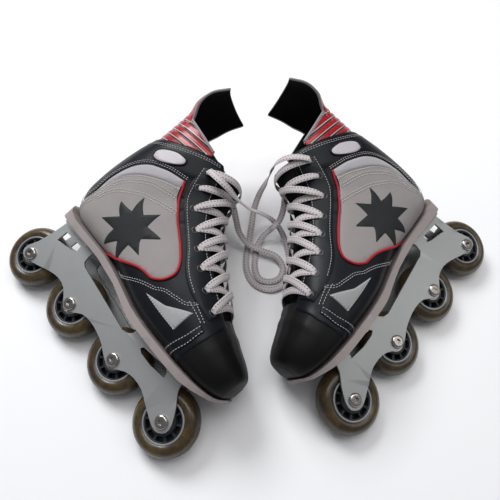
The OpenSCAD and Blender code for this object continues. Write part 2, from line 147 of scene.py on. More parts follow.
def normal(rows, s, q):
    s, q = np.broadcast_arrays(np.asarray(s, float), np.asarray(q, float))
    ds = skin(rows, s + 0.04, q) - skin(rows, s - 0.04, q)
    dq = skin(rows, s, q + 0.008) - skin(rows, s, q - 0.008)
    return unit(np.cross(dq, ds))


def on(s, q, h=0.0, rows=BOOT):
    """Point h above the surface, along its own normal."""
    return skin(rows, s, q) + normal(rows, s, q) * np.asarray(h, float)[..., None]


def lookup(x, table):
    return np.interp(x, [t[0] for t in table], [t[1] for t in table])


def find(x, z, rows=BOOT):
    """(s, q) on the outer side of the boot for a place in the side view."""
    def past(s):
        r = catmull(rows, np.array([s]))[0]
        return (r[0] - r[2]) * (z - r[3]) - (r[1] - r[3]) * (x - r[2])
    lo, hi = 0.0, len(rows) - 1.0
    start = past(lo) > 0
    for _ in range(30):
        m = (lo + hi) / 2
        lo, hi = (m, hi) if (past(m) > 0) == start else (lo, m)
    s = (lo + hi) / 2
    r = catmull(rows, np.array([s]))[0]
    f, b = r[2:4], r[0:2]
    want = np.dot(np.array([x, z]) - f, b - f) / np.dot(b - f, b - f)
    qs = np.linspace(0, 1, 201)
    p = skin(rows, np.full(201, s), qs)[:, [0, 2]]
    v = (p - f) @ (b - f) / np.dot(b - f, b - f)
    return s, float(np.interp(want, v, qs))


# ---------------------------------------------------------------- where each skate lies
def skate_frame(side):
    """Centre of the wheelbase and the skate's own axes, from the wheel joints."""
    at = [np.array(JOINTS[f"{side}_wheel_{i}_spin"]["pos_m"]) * 1000 for i in range(1, 5)]
    x = unit(at[3] - at[0])
    y = unit(np.array(JOINTS[f"{side}_wheel_1_spin"]["axis"]))
    z = np.cross(x, y) * (1 if side == "left" else -1)
    return sum(at) / 4, np.stack([x, y, z])


LIES = {side: skate_frame(side) for side in SIDES}
AXLE_Z = 36.0


def to_row(side, p):
    """A skate's own millimetres to the row frame's metres."""
    at, axes = LIES[side]
    return (at + (np.asarray(p, float) - [0, 0, AXLE_Z]) @ axes) / 1000


# ---------------------------------------------------------------- meshes
def add_mesh(name, co, faces, material, slot, body=STATIC, uv=None, smooth=180, flip=False, replaces=()):
    me = bpy.data.meshes.new(name)
    faces = [tuple(int(k) for k in (f[::-1] if flip else f)) for f in faces]
    me.from_pydata(np.asarray(co, float).tolist(), [], faces)
    if uv is not None:
        layer = me.uv_layers.new(name="UVMap")
        ids = np.zeros(len(me.loops), int)
        me.loops.foreach_get("vertex_index", ids)
        layer.data.foreach_set("uv", np.asarray(uv, float)[ids].ravel())
    me.update()
    me.shade_smooth()
    if smooth < 180:
        me.set_sharp_from_angle(angle=math.radians(smooth))
    ob = bpy.data.objects.new(name, me)
    bpy.context.scene.collection.objects.link(ob)
    me.materials.append(material)
    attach(ob, body)
    if replaces:
        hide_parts(*replaces)
    return ob


def tidy_normals(ob):
    bm = bmesh.new()
    bm.from_mesh(ob.data)
    bmesh.ops.recalc_face_normals(bm, faces=bm.faces)
    bm.to_mesh(ob.data)
    bm.free()
    return ob


def local_mesh(name, side, verts, faces, material, slot, **kw):
    return add_mesh(name, to_row(side, verts), faces, material, slot, flip=(side == "right"), **kw)


def grid_faces(n, m, base=0, wrap=False):
    cols = m if wrap else m - 1
    return [(base + i * m + j, base + i * m + (j + 1) % m, base + (i + 1) * m + (j + 1) % m,
             base + (i + 1) * m + j)
            for i in range(n - 1) for j in range(cols)]


def border(n, m):
    """Places round the edge of an n by m grid, in order."""
    return ([(0, j) for j in range(m)] + [(i, m - 1) for i in range(1, n)]
            + [(n - 1, j) for j in range(m - 2, -1, -1)] + [(i, 0) for i in range(n - 2, 0, -1)])


def slab(outer, inner, rounds=(45, 90, 135)):
    """Closed sheet between two grids of points, with half-round edges. Returns vertices, faces."""
    n, m, _ = outer.shape
    loop = border(n, m)
    mid = (outer + inner) / 2
    verts = [outer.reshape(-1, 3), inner.reshape(-1, 3)]
    faces = grid_faces(n, m) + [f[::-1] for f in grid_faces(n, m, n * m)]
    b = np.array([mid[i, j] for i, j in loop])
    o = np.array([outer[i, j] for i, j in loop])
    ins = np.array([mid[min(max(i, 1), n - 2), min(max(j, 1), m - 2)] for i, j in loop])
    half = o - b
    r = np.linalg.norm(half, axis=1, keepdims=True)
    t = b - ins
    hn = half / np.maximum(r, 1e-9)
    t = unit(t - (t * hn).sum(1, keepdims=True) * hn)
    prev = np.array([i * m + j for i, j in loop])
    last = prev + n * m
    k = len(loop)
    base = 2 * n * m
    rings = [prev]
    for a in rounds:
        a = math.radians(a)
        verts.append(b + half * math.cos(a) + t * r * math.sin(a))
        rings.append(base + np.arange(k))
        base += k
    rings.append(last)
    for u, w in zip(rings, rings[1:]):
        for i in range(k):
            j = (i + 1) % k
            faces.append((u[i], w[i], w[j], u[j]))
    return np.vstack(verts), faces


def slab_piece(name, side, outer, inner, material, slot, uv=None, **kw):
    verts, faces = slab(outer, inner)
    if uv is not None:
        edge = np.array([uv[i, j] for i, j in border(*outer.shape[:2])])
        uv = np.vstack([uv.reshape(-1, 2), uv.reshape(-1, 2), edge, edge, edge])
    return tidy_normals(local_mesh(name, side, verts, faces, material, slot, uv=uv, **kw))


def tube_mesh(p, r, sides=8, closed=False, ref=None, flat=None):
    """Vertices, faces and uv of a tube along points p. r is a radius per point or one number;
    flat = (half width, half thickness) per point makes a ribbon, with ref its face's normal."""
    p = np.asarray(p, float)
    n = len(p)
    t = unit(np.roll(p, -1, 0) - np.roll(p, 1, 0)) if closed else unit(np.gradient(p, axis=0))
    if ref is None:
        up = np.zeros_like(p)
        a = np.array([0.0, 0.0, 1.0])
        if abs(t[0] @ a) > 0.9:
            a = np.array([1.0, 0.0, 0.0])
        for i in range(n):
            a = unit(a - (a @ t[i]) * t[i])
            up[i] = a
    else:
        up = unit(ref - (ref * t).sum(1, keepdims=True) * t)
    across = np.cross(t, up)
    ang = np.arange(sides) * 2 * np.pi / sides
    c, s = np.cos(ang), np.sin(ang)
    if flat is None:
        rr = np.broadcast_to(np.asarray(r, float), (n,))
        w, h = rr, rr
    else:
        w, h = np.broadcast_to(flat[0], (n,)), np.broadcast_to(flat[1], (n,))
        c = np.sign(c) * np.abs(c) ** 0.55
        s = np.sign(s) * np.abs(s) ** 0.8
    v = (p[:, None] + across[:, None] * (c[None, :, None] * w[:, None, None]) + up[:, None]
         * (s[None, :, None] * h[:, None, None]))
    length = np.r_[0, np.linalg.norm(np.diff(p, axis=0), axis=1).cumsum()]
    uv = np.stack(np.broadcast_arrays(c[None, :] * w[:, None], length[:, None]), -1).reshape(-1, 2)
    v = v.reshape(-1, 3)
    faces = grid_faces(n, sides, wrap=True)
    if closed:
        faces += [((n - 1) * sides + j, (n - 1) * sides + (j + 1) % sides, (j + 1) % sides, j)
                  for j in range(sides)]
    else:
        faces += [tuple(range(sides))[::-1], tuple((n - 1) * sides + j for j in range(sides))]
    return v, faces, uv


def join(parts):
    """Several (vertices, faces[, uv]) as one."""
    verts, faces, uvs, base = [], [], [], 0
    for part in parts:
        verts.append(part[0])
        faces += [tuple(k + base for k in f) for f in part[1]]
        uvs.append(part[2] if len(part) > 2 else np.zeros((len(part[0]), 2)))
        base += len(part[0])
    return np.vstack(verts), faces, np.vstack(uvs)


def resample(p, step, keep=None):
    """Points at equal steps along a line; keep holds further columns read off with it."""
    p = np.asarray(p, float)
    length = np.r_[0, np.linalg.norm(np.diff(p, axis=0), axis=1).cumsum()]
    n = max(2, int(round(length[-1] / step)) + 1)
    t = np.linspace(0, length[-1], n)
    out = np.stack([np.interp(t, length, p[:, k]) for k in range(3)], 1)
    if keep is None:
        return out
    return out, np.stack([np.interp(t, length, keep[:, k]) for k in range(keep.shape[1])], 1)


def line(points, way=1, step=1.5, smooth=True):
    """(s, q) at equal steps along a line through (s, q) points on the boot; way -1 is the inner side."""
    pts = np.asarray(points, float)
    if smooth and len(pts) > 2:
        sq = catmull(pts, np.linspace(0, len(pts) - 1, (len(pts) - 1) * 14 + 1))
    else:
        sq = np.stack([np.interp(np.linspace(0, len(pts) - 1, (len(pts) - 1) * 14 + 1),
                                 np.arange(len(pts)), pts[:, k]) for k in (0, 1)], 1)
    sq[:, 1] *= way
    return resample(skin(BOOT, sq[:, 0], sq[:, 1]), step, sq)[1]


def aside(sq, d, rows=BOOT):
    """The line sq moved d mm sideways on the surface."""
    p = skin(rows, sq[:, 0], sq[:, 1])
    side = unit(np.cross(normal(rows, sq[:, 0], sq[:, 1]), unit(np.gradient(p, axis=0)))) * d
    ps = (skin(rows, sq[:, 0] + 0.02, sq[:, 1]) - skin(rows, sq[:, 0] - 0.02, sq[:, 1])) / 0.04
    pq = (skin(rows, sq[:, 0], sq[:, 1] + 0.004) - skin(rows, sq[:, 0], sq[:, 1] - 0.004)) / 0.008
    out = sq.copy()
    for i in range(len(sq)):
        a = np.stack([ps[i], pq[i]], 1)
        out[i] += np.linalg.lstsq(a, side[i], rcond=None)[0]
    return out


def stitch_parts(sq, h, pitch=3.3, length=2.3, r=0.32, rows=BOOT):
    """Thread stitches standing on the surface along sq, lying h above it."""
    p, k = resample(on(sq[:, 0], sq[:, 1], h, rows), pitch, sq)
    if len(p) < 3:
        return []
    t = unit(np.gradient(p, axis=0))
    n = normal(rows, k[:, 0], k[:, 1])
    b = np.cross(n, t)
    prof = ((-0.5, 0.15, -0.25), (-0.38, 0.8, 0.05), (0.0, 1.0, 0.22), (0.38, 0.8, 0.05),
            (0.5, 0.15, -0.25))
    ang = np.arange(6) * np.pi / 3
    parts = []
    for i in range(len(p)):
        v = [p[i] + t[i] * (a * length) + n[i] * lift * r + (b[i] * math.cos(w) + n[i] * math.sin(w))
             * (rad * r)
             for a, rad, lift in prof for w in ang]
        parts.append((np.array(v), grid_faces(5, 6, wrap=True)
                      + [tuple(range(6))[::-1], tuple(range(24, 30))]))
    return parts


S_MM, Q_MM = 27.0, 105.0


def polygon_tools(poly):
    a, b = poly, np.roll(poly, -1, 0)

    def inside(p):
        y = p[:, None, 1]
        cross = ((a[None, :, 1] > y) != (b[None, :, 1] > y)) & (
            p[:, None, 0] < (b[None, :, 0] - a[None, :, 0]) * (y - a[None, :, 1])
            / (b[None, :, 1] - a[None, :, 1] + 1e-12) + a[None, :, 0])
        return cross.sum(1) % 2 == 1

    def far(p):
        d = b - a
        t = np.clip(((p[:, None] - a[None]) * d[None]).sum(-1) / np.maximum((d * d).sum(-1), 1e-9)[None],
                    0, 1)
        return np.linalg.norm(p[:, None] - (a[None] + t[..., None] * d[None]), axis=-1).min(1)
    return inside, far


def panel(name, side, sides_of, material, slot, height=1.0, edge=1.1, base=-0.2, way=1, spacing=3.5,
          puff=0.0, step=1.6, rows=BOOT, uv_turn=0.0):
    """A piece of material laid on the boot: sides_of is a list of (s, q) lines that meet at its corners."""
    run = []
    for pts in sides_of:
        pts = np.asarray(pts, float)
        k = (len(pts) - 1) * 12 + 1
        sq = (catmull(pts, np.linspace(0, len(pts) - 1, k)) if len(pts) > 2 else pts[0]
              + (pts[1] - pts[0]) * np.linspace(0, 1, 13)[:, None])
        sq = resample(skin(rows, sq[:, 0], sq[:, 1]), step, sq)[1]
        run.append(sq[:-1])
    sq = np.vstack(run)
    scale = np.array([S_MM, Q_MM])
    poly = sq * scale
    inside, far = polygon_tools(poly)
    area = 0.5 * np.sum(poly[:, 0] * np.roll(poly[:, 1], -1) - np.roll(poly[:, 0], -1) * poly[:, 1])
    t = unit(np.roll(poly, -1, 0) - np.roll(poly, 1, 0))
    inward = np.stack([-t[:, 1], t[:, 0]], 1) * (1 if area > 0 else -1)
    ring = poly + inward * edge
    ring = ring[inside(ring)]
    ring = ring[far(ring) > edge * 0.85]
    lo, hi = poly.min(0), poly.max(0)
    gx, gy = np.meshgrid(np.arange(lo[0], hi[0], spacing), np.arange(lo[1], hi[1], spacing), indexing="ij")
    gx = gx + (np.arange(gx.shape[1]) % 2) * spacing / 2
    g = np.stack([gx.ravel(), gy.ravel()], 1)
    g = g[inside(g)]
    g = g[far(g) > edge + spacing * 0.45] if len(g) else g
    pts = np.vstack([poly, ring, g])
    n = len(poly)
    res = geometry.delaunay_2d_cdt([Vector(p) for p in pts], [(i, (i + 1) % n) for i in range(n)], [], 1,
                                   1e-5)
    v2 = np.array([tuple(v) for v in res[0]])
    d = far(v2)
    lift = np.where(d < 1e-3, base, height * np.clip(d / edge, 0, 1) ** 0.5)
    if puff:
        lift = lift + puff * (1 - np.exp(-d / 9.0))
    s, q = v2[:, 0] / S_MM, v2[:, 1] / Q_MM * way
    verts = skin(rows, s, q) + normal(rows, s, q) * lift[:, None]
    faces = [tuple(f) for f in res[2]]
    if not faces:
        raise RuntimeError(f"panel {name} came out empty")
    f0 = np.array([f[:3] for f in faces])
    nf = np.cross(verts[f0[:, 1]] - verts[f0[:, 0]], verts[f0[:, 2]] - verts[f0[:, 0]])
    if (nf * normal(rows, s, q)[f0[:, 0]]).sum() < 0:
        faces = [f[::-1] for f in faces]
    uv = np.stack([skin(rows, s, q)[:, 0], skin(rows, s, q)[:, 2]], 1)
    if uv_turn:
        a = math.radians(uv_turn)
        uv = uv @ np.array([[math.cos(a), -math.sin(a)], [math.sin(a), math.cos(a)]])
    local_mesh(name, side, verts, faces, material, slot, uv=uv)


# ---------------------------------------------------------------- materials


class Shader:
    def __init__(self, name, colour, rough=0.5, metal=0.0, **more):
        self.mat = bpy.data.materials.new(name)
        self.mat.use_nodes = True
        self.nt = self.mat.node_tree
        self.p = self.nt.nodes["Principled BSDF"]
        self.p.inputs["Base Color"].default_value = (*colour, 1)
        self.p.inputs["Roughness"].default_value = rough
        self.p.inputs["Metallic"].default_value = metal
        for k, v in more.items():
            self.p.inputs[k.replace("_", " ")].default_value = v
        self.tc = self.nt.nodes.new("ShaderNodeTexCoord")
        self.height = None

    def link(self, a, b):
        self.nt.links.new(a, b)

    def coords(self, kind="Object", scale=(1, 1, 1), turn=0.0):
        m = self.nt.nodes.new("ShaderNodeMapping")
        m.inputs["Scale"].default_value = scale
        m.inputs["Rotation"].default_value = (0, 0, math.radians(turn))
        self.link(self.tc.outputs[kind], m.inputs["Vector"])
        return m.outputs["Vector"]

    def noise(self, vec, scale, detail=4.0, rough=0.55):
        n = self.nt.nodes.new("ShaderNodeTexNoise")
        n.inputs["Scale"].default_value = scale
        n.inputs["Detail"].default_value = detail
        n.inputs["Roughness"].default_value = rough
        self.link(vec, n.inputs["Vector"])
        return n.outputs["Fac"]

    def voronoi(self, vec, scale):
        n = self.nt.nodes.new("ShaderNodeTexVoronoi")
        n.inputs["Scale"].default_value = scale
        self.link(vec, n.inputs["Vector"])
        return n.outputs["Distance"]

    def wave(self, vec, scale, direction="X", profile="SIN", distort=0.0):
        n = self.nt.nodes.new("ShaderNodeTexWave")
        n.bands_direction = direction
        n.wave_profile = profile
        n.inputs["Scale"].default_value = scale
        n.inputs["Distortion"].default_value = distort
        self.link(vec, n.inputs["Vector"])
        return n.outputs["Fac"]

    def maths(self, op, a, b=None, c=None, clamp=False):
        n = self.nt.nodes.new("ShaderNodeMath")
        n.operation = op
        n.use_clamp = clamp
        for i, x in enumerate((a, b, c)):
            if x is None:
                continue
            if isinstance(x, (int, float)):
                n.inputs[i].default_value = x
            else:
                self.link(x, n.inputs[i])
        return n.outputs[0]

    def steps(self, fac, lo, hi):
        n = self.nt.nodes.new("ShaderNodeMapRange")
        n.interpolation_type = "SMOOTHSTEP"
        n.inputs["From Min"].default_value = lo
        n.inputs["From Max"].default_value = hi
        self.link(fac, n.inputs["Value"])
        return n.outputs["Result"]

    def mix(self, fac, a, b):
        n = self.nt.nodes.new("ShaderNodeMix")
        n.data_type = "RGBA"
        for sock, x in ((n.inputs[0], fac), (n.inputs[6], a), (n.inputs[7], b)):
            if isinstance(x, (int, float)):
                sock.default_value = x
            elif isinstance(x, tuple):
                sock.default_value = (*x, 1)
            else:
                self.link(x, sock)
        return n.outputs[2]

    def split(self, vec):
        n = self.nt.nodes.new("ShaderNodeSeparateXYZ")
        self.link(vec, n.inputs[0])
        return n.outputs

    def colour(self, sock):
        self.link(sock, self.p.inputs["Base Color"])

    def roughness(self, fac, lo, hi):
        n = self.nt.nodes.new("ShaderNodeMapRange")
        n.inputs["To Min"].default_value = lo
        n.inputs["To Max"].default_value = hi
        self.link(fac, n.inputs["Value"])
        self.link(n.outputs["Result"], self.p.inputs["Roughness"])

    def bump(self, height, strength=0.3, distance=0.0003):
        n = self.nt.nodes.new("ShaderNodeBump")
        n.inputs["Strength"].default_value = strength
        n.inputs["Distance"].default_value = distance
        self.link(height, n.inputs["Height"])
        if self.height is not None:
            self.link(self.height, n.inputs["Normal"])
        self.height = n.outputs["Normal"]
        self.link(self.height, self.p.inputs["Normal"])


def leather(name, colour, grey, rough=(0.34, 0.52), grain=1500, strength=0.25):
    """Coated synthetic leather: fine pebbled grain, soft creases, scuffs."""
    m = Shader(name, colour, 0.4, Coat_Weight=0.02, Coat_Roughness=0.2, Specular_IOR_Level=0.13)
    v = m.coords()
    cells = m.voronoi(v, grain)
    broad = m.noise(v, 35, 5)
    scuff = m.steps(m.noise(v, 140, 8, 0.7), 0.62, 0.8)
    m.colour(m.mix(m.maths("MULTIPLY", scuff, 0.35), m.mix(broad, colour, grey),
                   tuple(min(1, c * 3 + 0.03) for c in grey)))
    m.roughness(broad, *rough)
    m.bump(cells, strength, 0.00018)
    m.bump(m.noise(v, 60, 3), 0.25, 0.0012)
    return m.mat


def plastic(name, colour, other, rough=(0.3, 0.5), wear=(0.2, 0.2, 0.2), amount=0.25, fine=900, level=0.45):
    m = Shader(name, colour, 0.4, Specular_IOR_Level=level)
    v = m.coords()
    broad = m.noise(v, 28, 4)
    marks = m.steps(m.noise(m.coords(scale=(1, 1, 3)), 90, 9, 0.75), 0.6, 0.78)
    m.colour(m.mix(m.maths("MULTIPLY", marks, amount), m.mix(broad, colour, other), wear))
    m.roughness(m.noise(v, 60, 6), *rough)
    m.bump(m.noise(v, fine, 3), 0.12, 0.0001)
    return m.mat


def metal(name, colour, rough=(0.22, 0.4), brushed=(1, 1, 14), dirt=(0.3, 0.29, 0.28), amount=0.25,
          metallic=1.0):
    m = Shader(name, colour, 0.3, metallic)
    v = m.coords(scale=brushed)
    lines = m.noise(v, 260, 6, 0.7)
    soil = m.steps(m.noise(m.coords(), 26, 7, 0.7), 0.55, 0.8)
    m.colour(m.mix(m.maths("MULTIPLY", soil, amount), colour, dirt))
    m.roughness(lines, *rough)
    m.bump(lines, 0.06, 0.0001)
    m.bump(m.noise(m.coords(), 45, 3), 0.08, 0.0008)
    return m.mat


def cloth(name, colour, other, thread=1.1, kind="rib", rough=0.85, strength=0.5, sheen=0.25, dirt=None,
          use="UV"):
    """Woven or ribbed cloth. UVs are in mm; without them the row frame's metres serve."""
    m = Shader(name, colour, rough, Sheen_Weight=sheen, Sheen_Roughness=0.5)
    v = m.coords(use, scale=(1, 1, 1) if use == "UV" else (1000, 1000, 1000))
    k = 0.314 / thread
    warp = m.wave(v, k * (1.9 if kind == "rib" else 1.0), "X")
    weft = m.wave(v, k, "Y")
    h = m.maths("ADD", m.maths("MULTIPLY", warp, 0.35 if kind == "rib" else 0.8), weft)
    o = m.coords()
    broad = m.noise(o, 40, 6, 0.65)
    tone = m.mix(broad, colour, other)
    # Painted shade: the colour darkens towards 45% of itself where the weave height h is low, in the
    # hollows between threads.
    tone = m.mix(m.maths("MULTIPLY", m.maths("SUBTRACT", 1.35, h), 0.3, clamp=True), tone,
                 tuple(c * 0.45 for c in colour))
    if dirt:
        tone = m.mix(m.maths("MULTIPLY", m.steps(m.noise(o, 22, 8, 0.75), 0.5, 0.78), 0.45), tone, dirt)
    m.colour(tone)
    m.bump(h, strength, 0.00035)
    m.bump(m.noise(o, 700, 2), 0.2, 0.0002)
    return m.mat


def felt(name, colour, other):
    m = Shader(name, colour, 0.97, Specular_IOR_Level=0.1)
    o = m.coords()
    fibres = m.noise(m.coords(scale=(1, 2.5, 1)), 1600, 6, 0.8)
    m.colour(m.mix(m.noise(o, 60, 6), colour, other))
    m.bump(fibres, 0.45, 0.0005)
    m.bump(m.noise(o, 45, 3), 0.2, 0.002)
    return m.mat


def urethane():
    """Cast amber urethane: clear depth, random patches of painted light and painted shade, a scuffed tread
    band, the hub's dark anchors inside.
    """
    m = Shader("amber_urethane", (0.12, 0.08, 0.03), 0.3, Transmission_Weight=0.2, IOR=1.5,
               Coat_Weight=0.1, Coat_Roughness=0.2)
    uv = m.split(m.tc.outputs["UV"])
    turn, rad = uv[0], uv[1]
    o = m.coords()
    teeth = m.steps(m.maths("SINE", m.maths("MULTIPLY", turn, 2 * math.pi * 11)), -0.2, 0.5)
    near = m.maths("SUBTRACT", 1, m.steps(rad, 24.0, 28.0))
    # Painted light and shade: noise patches mix the tyre's lit amber colour with its shaded dark brown.
    tone = m.mix(m.steps(m.noise(o, 34, 6, 0.7), 0.35, 0.65), (0.095, 0.062, 0.020), (0.030, 0.018, 0.007))
    tone = m.mix(m.maths("MULTIPLY", m.maths("MULTIPLY", teeth, near), 0.7), tone, (0.03, 0.03, 0.025))
    worn = m.steps(rad, 34.2, 35.8)
    tone = m.mix(m.maths("MULTIPLY", worn, m.noise(o, 240, 8, 0.8)), tone, (0.055, 0.045, 0.032))
    m.colour(tone)
    m.roughness(m.maths("ADD", m.maths("MULTIPLY", worn, 0.6),
                        m.maths("MULTIPLY", m.noise(o, 120, 5), 0.4)), 0.2, 0.7)
    m.bump(m.noise(o, 500, 6, 0.7), 0.15, 0.0003)
    return m.mat


def lace_cloth():
    """Flat woven lace, off-white, with dark tracer flecks near both edges."""
    m = Shader("lace_weave", (0.62, 0.56, 0.56), 0.85, Sheen_Weight=0.2)
    uv = m.split(m.tc.outputs["UV"])
    x, y = uv[0], uv[1]
    chevron = m.wave(m.coords("UV", turn=38), 0.36, "X")
    chevron2 = m.wave(m.coords("UV", turn=-38), 0.36, "X")
    h = m.maths("MAXIMUM", chevron, chevron2)
    edge = m.maths("SUBTRACT", m.maths("ABSOLUTE", x), 2.3)
    band = m.maths("SUBTRACT", 1, m.steps(m.maths("ABSOLUTE", edge), 0.45, 0.75))
    dash = m.steps(m.maths("SINE", m.maths("ADD", m.maths("MULTIPLY", y, 1.75),
                                           m.maths("MULTIPLY", x, 0.5))), 0.15, 0.5)
    o = m.coords()
    tone = m.mix(m.noise(o, 70, 6, 0.7), (0.64, 0.59, 0.60), (0.50, 0.445, 0.44))
    # Painted shade: the colour darkens where the chevron weave height h is low, in the hollows between
    # threads.
    tone = m.mix(m.maths("MULTIPLY", m.maths("SUBTRACT", 1.0, h), 0.3), tone, (0.36, 0.33, 0.33))
    tone = m.mix(m.maths("MULTIPLY", m.maths("MULTIPLY", band, dash), 0.85), tone, (0.03, 0.03, 0.03))
    m.colour(tone)
    m.bump(h, 0.5, 0.0004)
    return m.mat


def guard_red():
    """Glossy moulded red, with painted shade in the grooves, edged by a silvery painted highlight line; UV
    y is the height in mm.
    """
    m = Shader("guard_red", (0.42, 0.012, 0.02), 0.24, Coat_Weight=0.12, Coat_Roughness=0.08,
               Specular_IOR_Level=0.35)
    uv = m.split(m.tc.outputs["UV"])
    g = uv[1]
    # Painted shade: near-black colour in the grooves between the ribs.
    painted_groove_shade = m.maths("SUBTRACT", 1, m.steps(g, 0.22, 0.30))
    # Painted highlight: a silvery line along each rib's edge just above its groove.
    line = m.maths("SUBTRACT", 1, m.steps(m.maths("ABSOLUTE", m.maths("SUBTRACT", g, 0.31)), 0.03, 0.065))
    o = m.coords()
    tone = m.mix(m.noise(o, 60, 5), (0.36, 0.006, 0.010), (0.24, 0.004, 0.008))
    tone = m.mix(line, tone, (0.55, 0.52, 0.52))
    tone = m.mix(painted_groove_shade, tone, (0.035, 0.035, 0.04))
    m.colour(tone)
    m.roughness(m.noise(o, 200, 6), 0.16, 0.42)
    m.bump(m.noise(o, 90, 4), 0.1, 0.0008)
    return m.mat


MAT = {
    "black": leather("black_satin_leather", (0.0045, 0.005, 0.007), (0.008, 0.009, 0.012),
                     rough=(0.28, 0.46)),
    "collar": leather("black_collar_leather", (0.005, 0.006, 0.008), (0.009, 0.010, 0.013),
                      rough=(0.26, 0.42)),
    "emblem": leather("charcoal_print", (0.016, 0.018, 0.019), (0.026, 0.029, 0.030), rough=(0.5, 0.7),
                      grain=900),
    "toe": plastic("toe_cap_plastic", (0.0035, 0.0035, 0.004), (0.006, 0.006, 0.0065), (0.38, 0.58),
                   (0.05, 0.05, 0.05), 0.15, level=0.14),
    "sole": plastic("sole_plastic", (0.24, 0.20, 0.195), (0.30, 0.26, 0.255), (0.45, 0.7),
                    (0.22, 0.18, 0.16), 0.35),
    "hub": plastic("hub_plastic", (0.012, 0.013, 0.015), (0.02, 0.021, 0.023), (0.35, 0.55),
                   (0.12, 0.12, 0.12), 0.3),
    "grey": cloth("grey_ribbed_nylon", (0.28, 0.255, 0.245), (0.35, 0.325, 0.315), 1.1, "rib", 0.8, 0.5,
                  0.15, (0.27, 0.24, 0.22)),
    "band": cloth("pale_band_nylon", (0.36, 0.34, 0.36), (0.44, 0.42, 0.44), 0.8, "plain", 0.7, 0.3, 0.2,
                  (0.33, 0.31, 0.30)),
    "patch": cloth("silver_patch", (0.27, 0.27, 0.27), (0.36, 0.36, 0.36), 1.3, "plain", 0.6, 0.35, 0.1,
                   (0.2, 0.19, 0.18)),
    "badge": plastic("badge_vinyl", (0.44, 0.41, 0.43), (0.50, 0.47, 0.49), (0.4, 0.55),
                     (0.3, 0.28, 0.27), 0.35),
    "lining": cloth("lining_mesh", (0.010, 0.010, 0.011), (0.018, 0.018, 0.020), 1.6, "plain", 0.95, 0.6,
                    0.05, use="Object"),
    "felt": felt("black_felt", (0.003, 0.003, 0.0035), (0.006, 0.006, 0.0065)),
    "tongue": felt("tongue_felt", (0.006, 0.006, 0.0065), (0.011, 0.011, 0.012)),
    "footbed": cloth("footbed_cloth", (0.05, 0.05, 0.055), (0.07, 0.07, 0.075), 1.4, "plain", 0.95, 0.5,
                     0.3, use="Object"),
    "piping": leather("red_piping", (0.40, 0.018, 0.03), (0.30, 0.012, 0.02), rough=(0.35, 0.5),
                      grain=1200),
    "trim": leather("black_piping", (0.008, 0.008, 0.009), (0.014, 0.014, 0.016), rough=(0.35, 0.5)),
    "rim": plastic("guard_rim_plastic", (0.20, 0.20, 0.21), (0.28, 0.28, 0.29), (0.35, 0.5),
                   (0.25, 0.24, 0.23), 0.3),
    "thread": cloth("white_thread", (0.58, 0.57, 0.58), (0.68, 0.67, 0.68), 0.4, "plain", 0.8, 0.3, 0.1,
                    use="Object"),
    "greythread": cloth("grey_thread", (0.66, 0.64, 0.63), (0.74, 0.72, 0.71), 0.4, "plain", 0.8, 0.3,
                        0.1, use="Object"),
    "eyelet": plastic("eyelet_enamel", (0.02, 0.02, 0.022), (0.03, 0.03, 0.032), (0.2, 0.35),
                      (0.3, 0.3, 0.3), 0.3),
    "frame": metal("frame_aluminium", (0.40, 0.41, 0.41), (0.34, 0.5), (1, 1, 10), (0.30, 0.29, 0.28),
                   0.25, 0.7),
    "steel": metal("bearing_steel", (0.42, 0.42, 0.43), (0.2, 0.38), (1, 1, 1)),
    "chrome": metal("bolt_chrome", (0.40, 0.37, 0.35), (0.12, 0.32), (1, 1, 1), (0.28, 0.18, 0.13), 0.3),
    "ring": metal("hub_ring", (0.30, 0.31, 0.33), (0.3, 0.5), (1, 1, 1), (0.15, 0.15, 0.15), 0.3, 0.5),
    "urethane": urethane(),
    "lace": lace_cloth(),
    "guard": guard_red(),
}


# ---------------------------------------------------------------- CAD nodes that keep their shape
def dress(names, material, bevel=None, smooth=30):
    for n in names:
        ob = NODES[n]
        ob.data.materials.clear()
        ob.data.materials.append(material)
        if bevel:
            w = ob.modifiers.new("weld", "WELD")
            w.merge_threshold = 0.00002
            b = ob.modifiers.new("edges", "BEVEL")
            b.width = bevel
            b.segments = 3
            b.limit_method = "ANGLE"
            b.angle_limit = math.radians(smooth)


for side in SIDES:
    dress([f"{side}_frame"], MAT["frame"], 0.0006, 35)
    dress([f"{side}_outsole"], MAT["sole"], 0.0012, 35)
    dress([f"{side}_axle_bolts"], MAT["chrome"], 0.00025, 40)
    dress([f"{side}_axle_nuts", f"{side}_rivets", f"{side}_inner_races"], MAT["steel"])
    dress([f"{side}_spacers"], MAT["steel"])


# ---------------------------------------------------------------- wheels
def lathe(profile, n=96):
    """Turned about y: profile is (radius, y) points; closed profile loop."""
    prof = np.asarray(profile, float)
    k = len(prof)
    a = np.arange(n) * 2 * np.pi / n
    v = np.stack([np.outer(np.cos(a), prof[:, 0]), np.broadcast_to(prof[:, 1], (n, k)),
                  np.outer(np.sin(a), prof[:, 0])], -1).reshape(-1, 3)
    faces = [(i * k + j, i * k + (j + 1) % k, ((i + 1) % n) * k + (j + 1) % k, ((i + 1) % n) * k + j)
             for i in range(n) for j in range(k)]
    uv = np.stack([np.repeat(np.arange(n) / n, k), np.tile(prof[:, 0], n)], 1)
    return v, faces, uv


def round_profile(points, r, k=4):
    """A closed profile with each corner rounded by r."""
    pts = np.asarray(points, float)
    out = []
    for i in range(len(pts)):
        a, b, c = pts[i - 1], pts[i], pts[(i + 1) % len(pts)]
        u, w = a - b, c - b
        d = min(r, np.linalg.norm(u) * 0.45, np.linalg.norm(w) * 0.45)
        p, q = b + unit(u) * d, b + unit(w) * d
        for t in np.linspace(0, 1, k):
            out.append((1 - t) ** 2 * p + 2 * t * (1 - t) * b + t ** 2 * q)
    return out


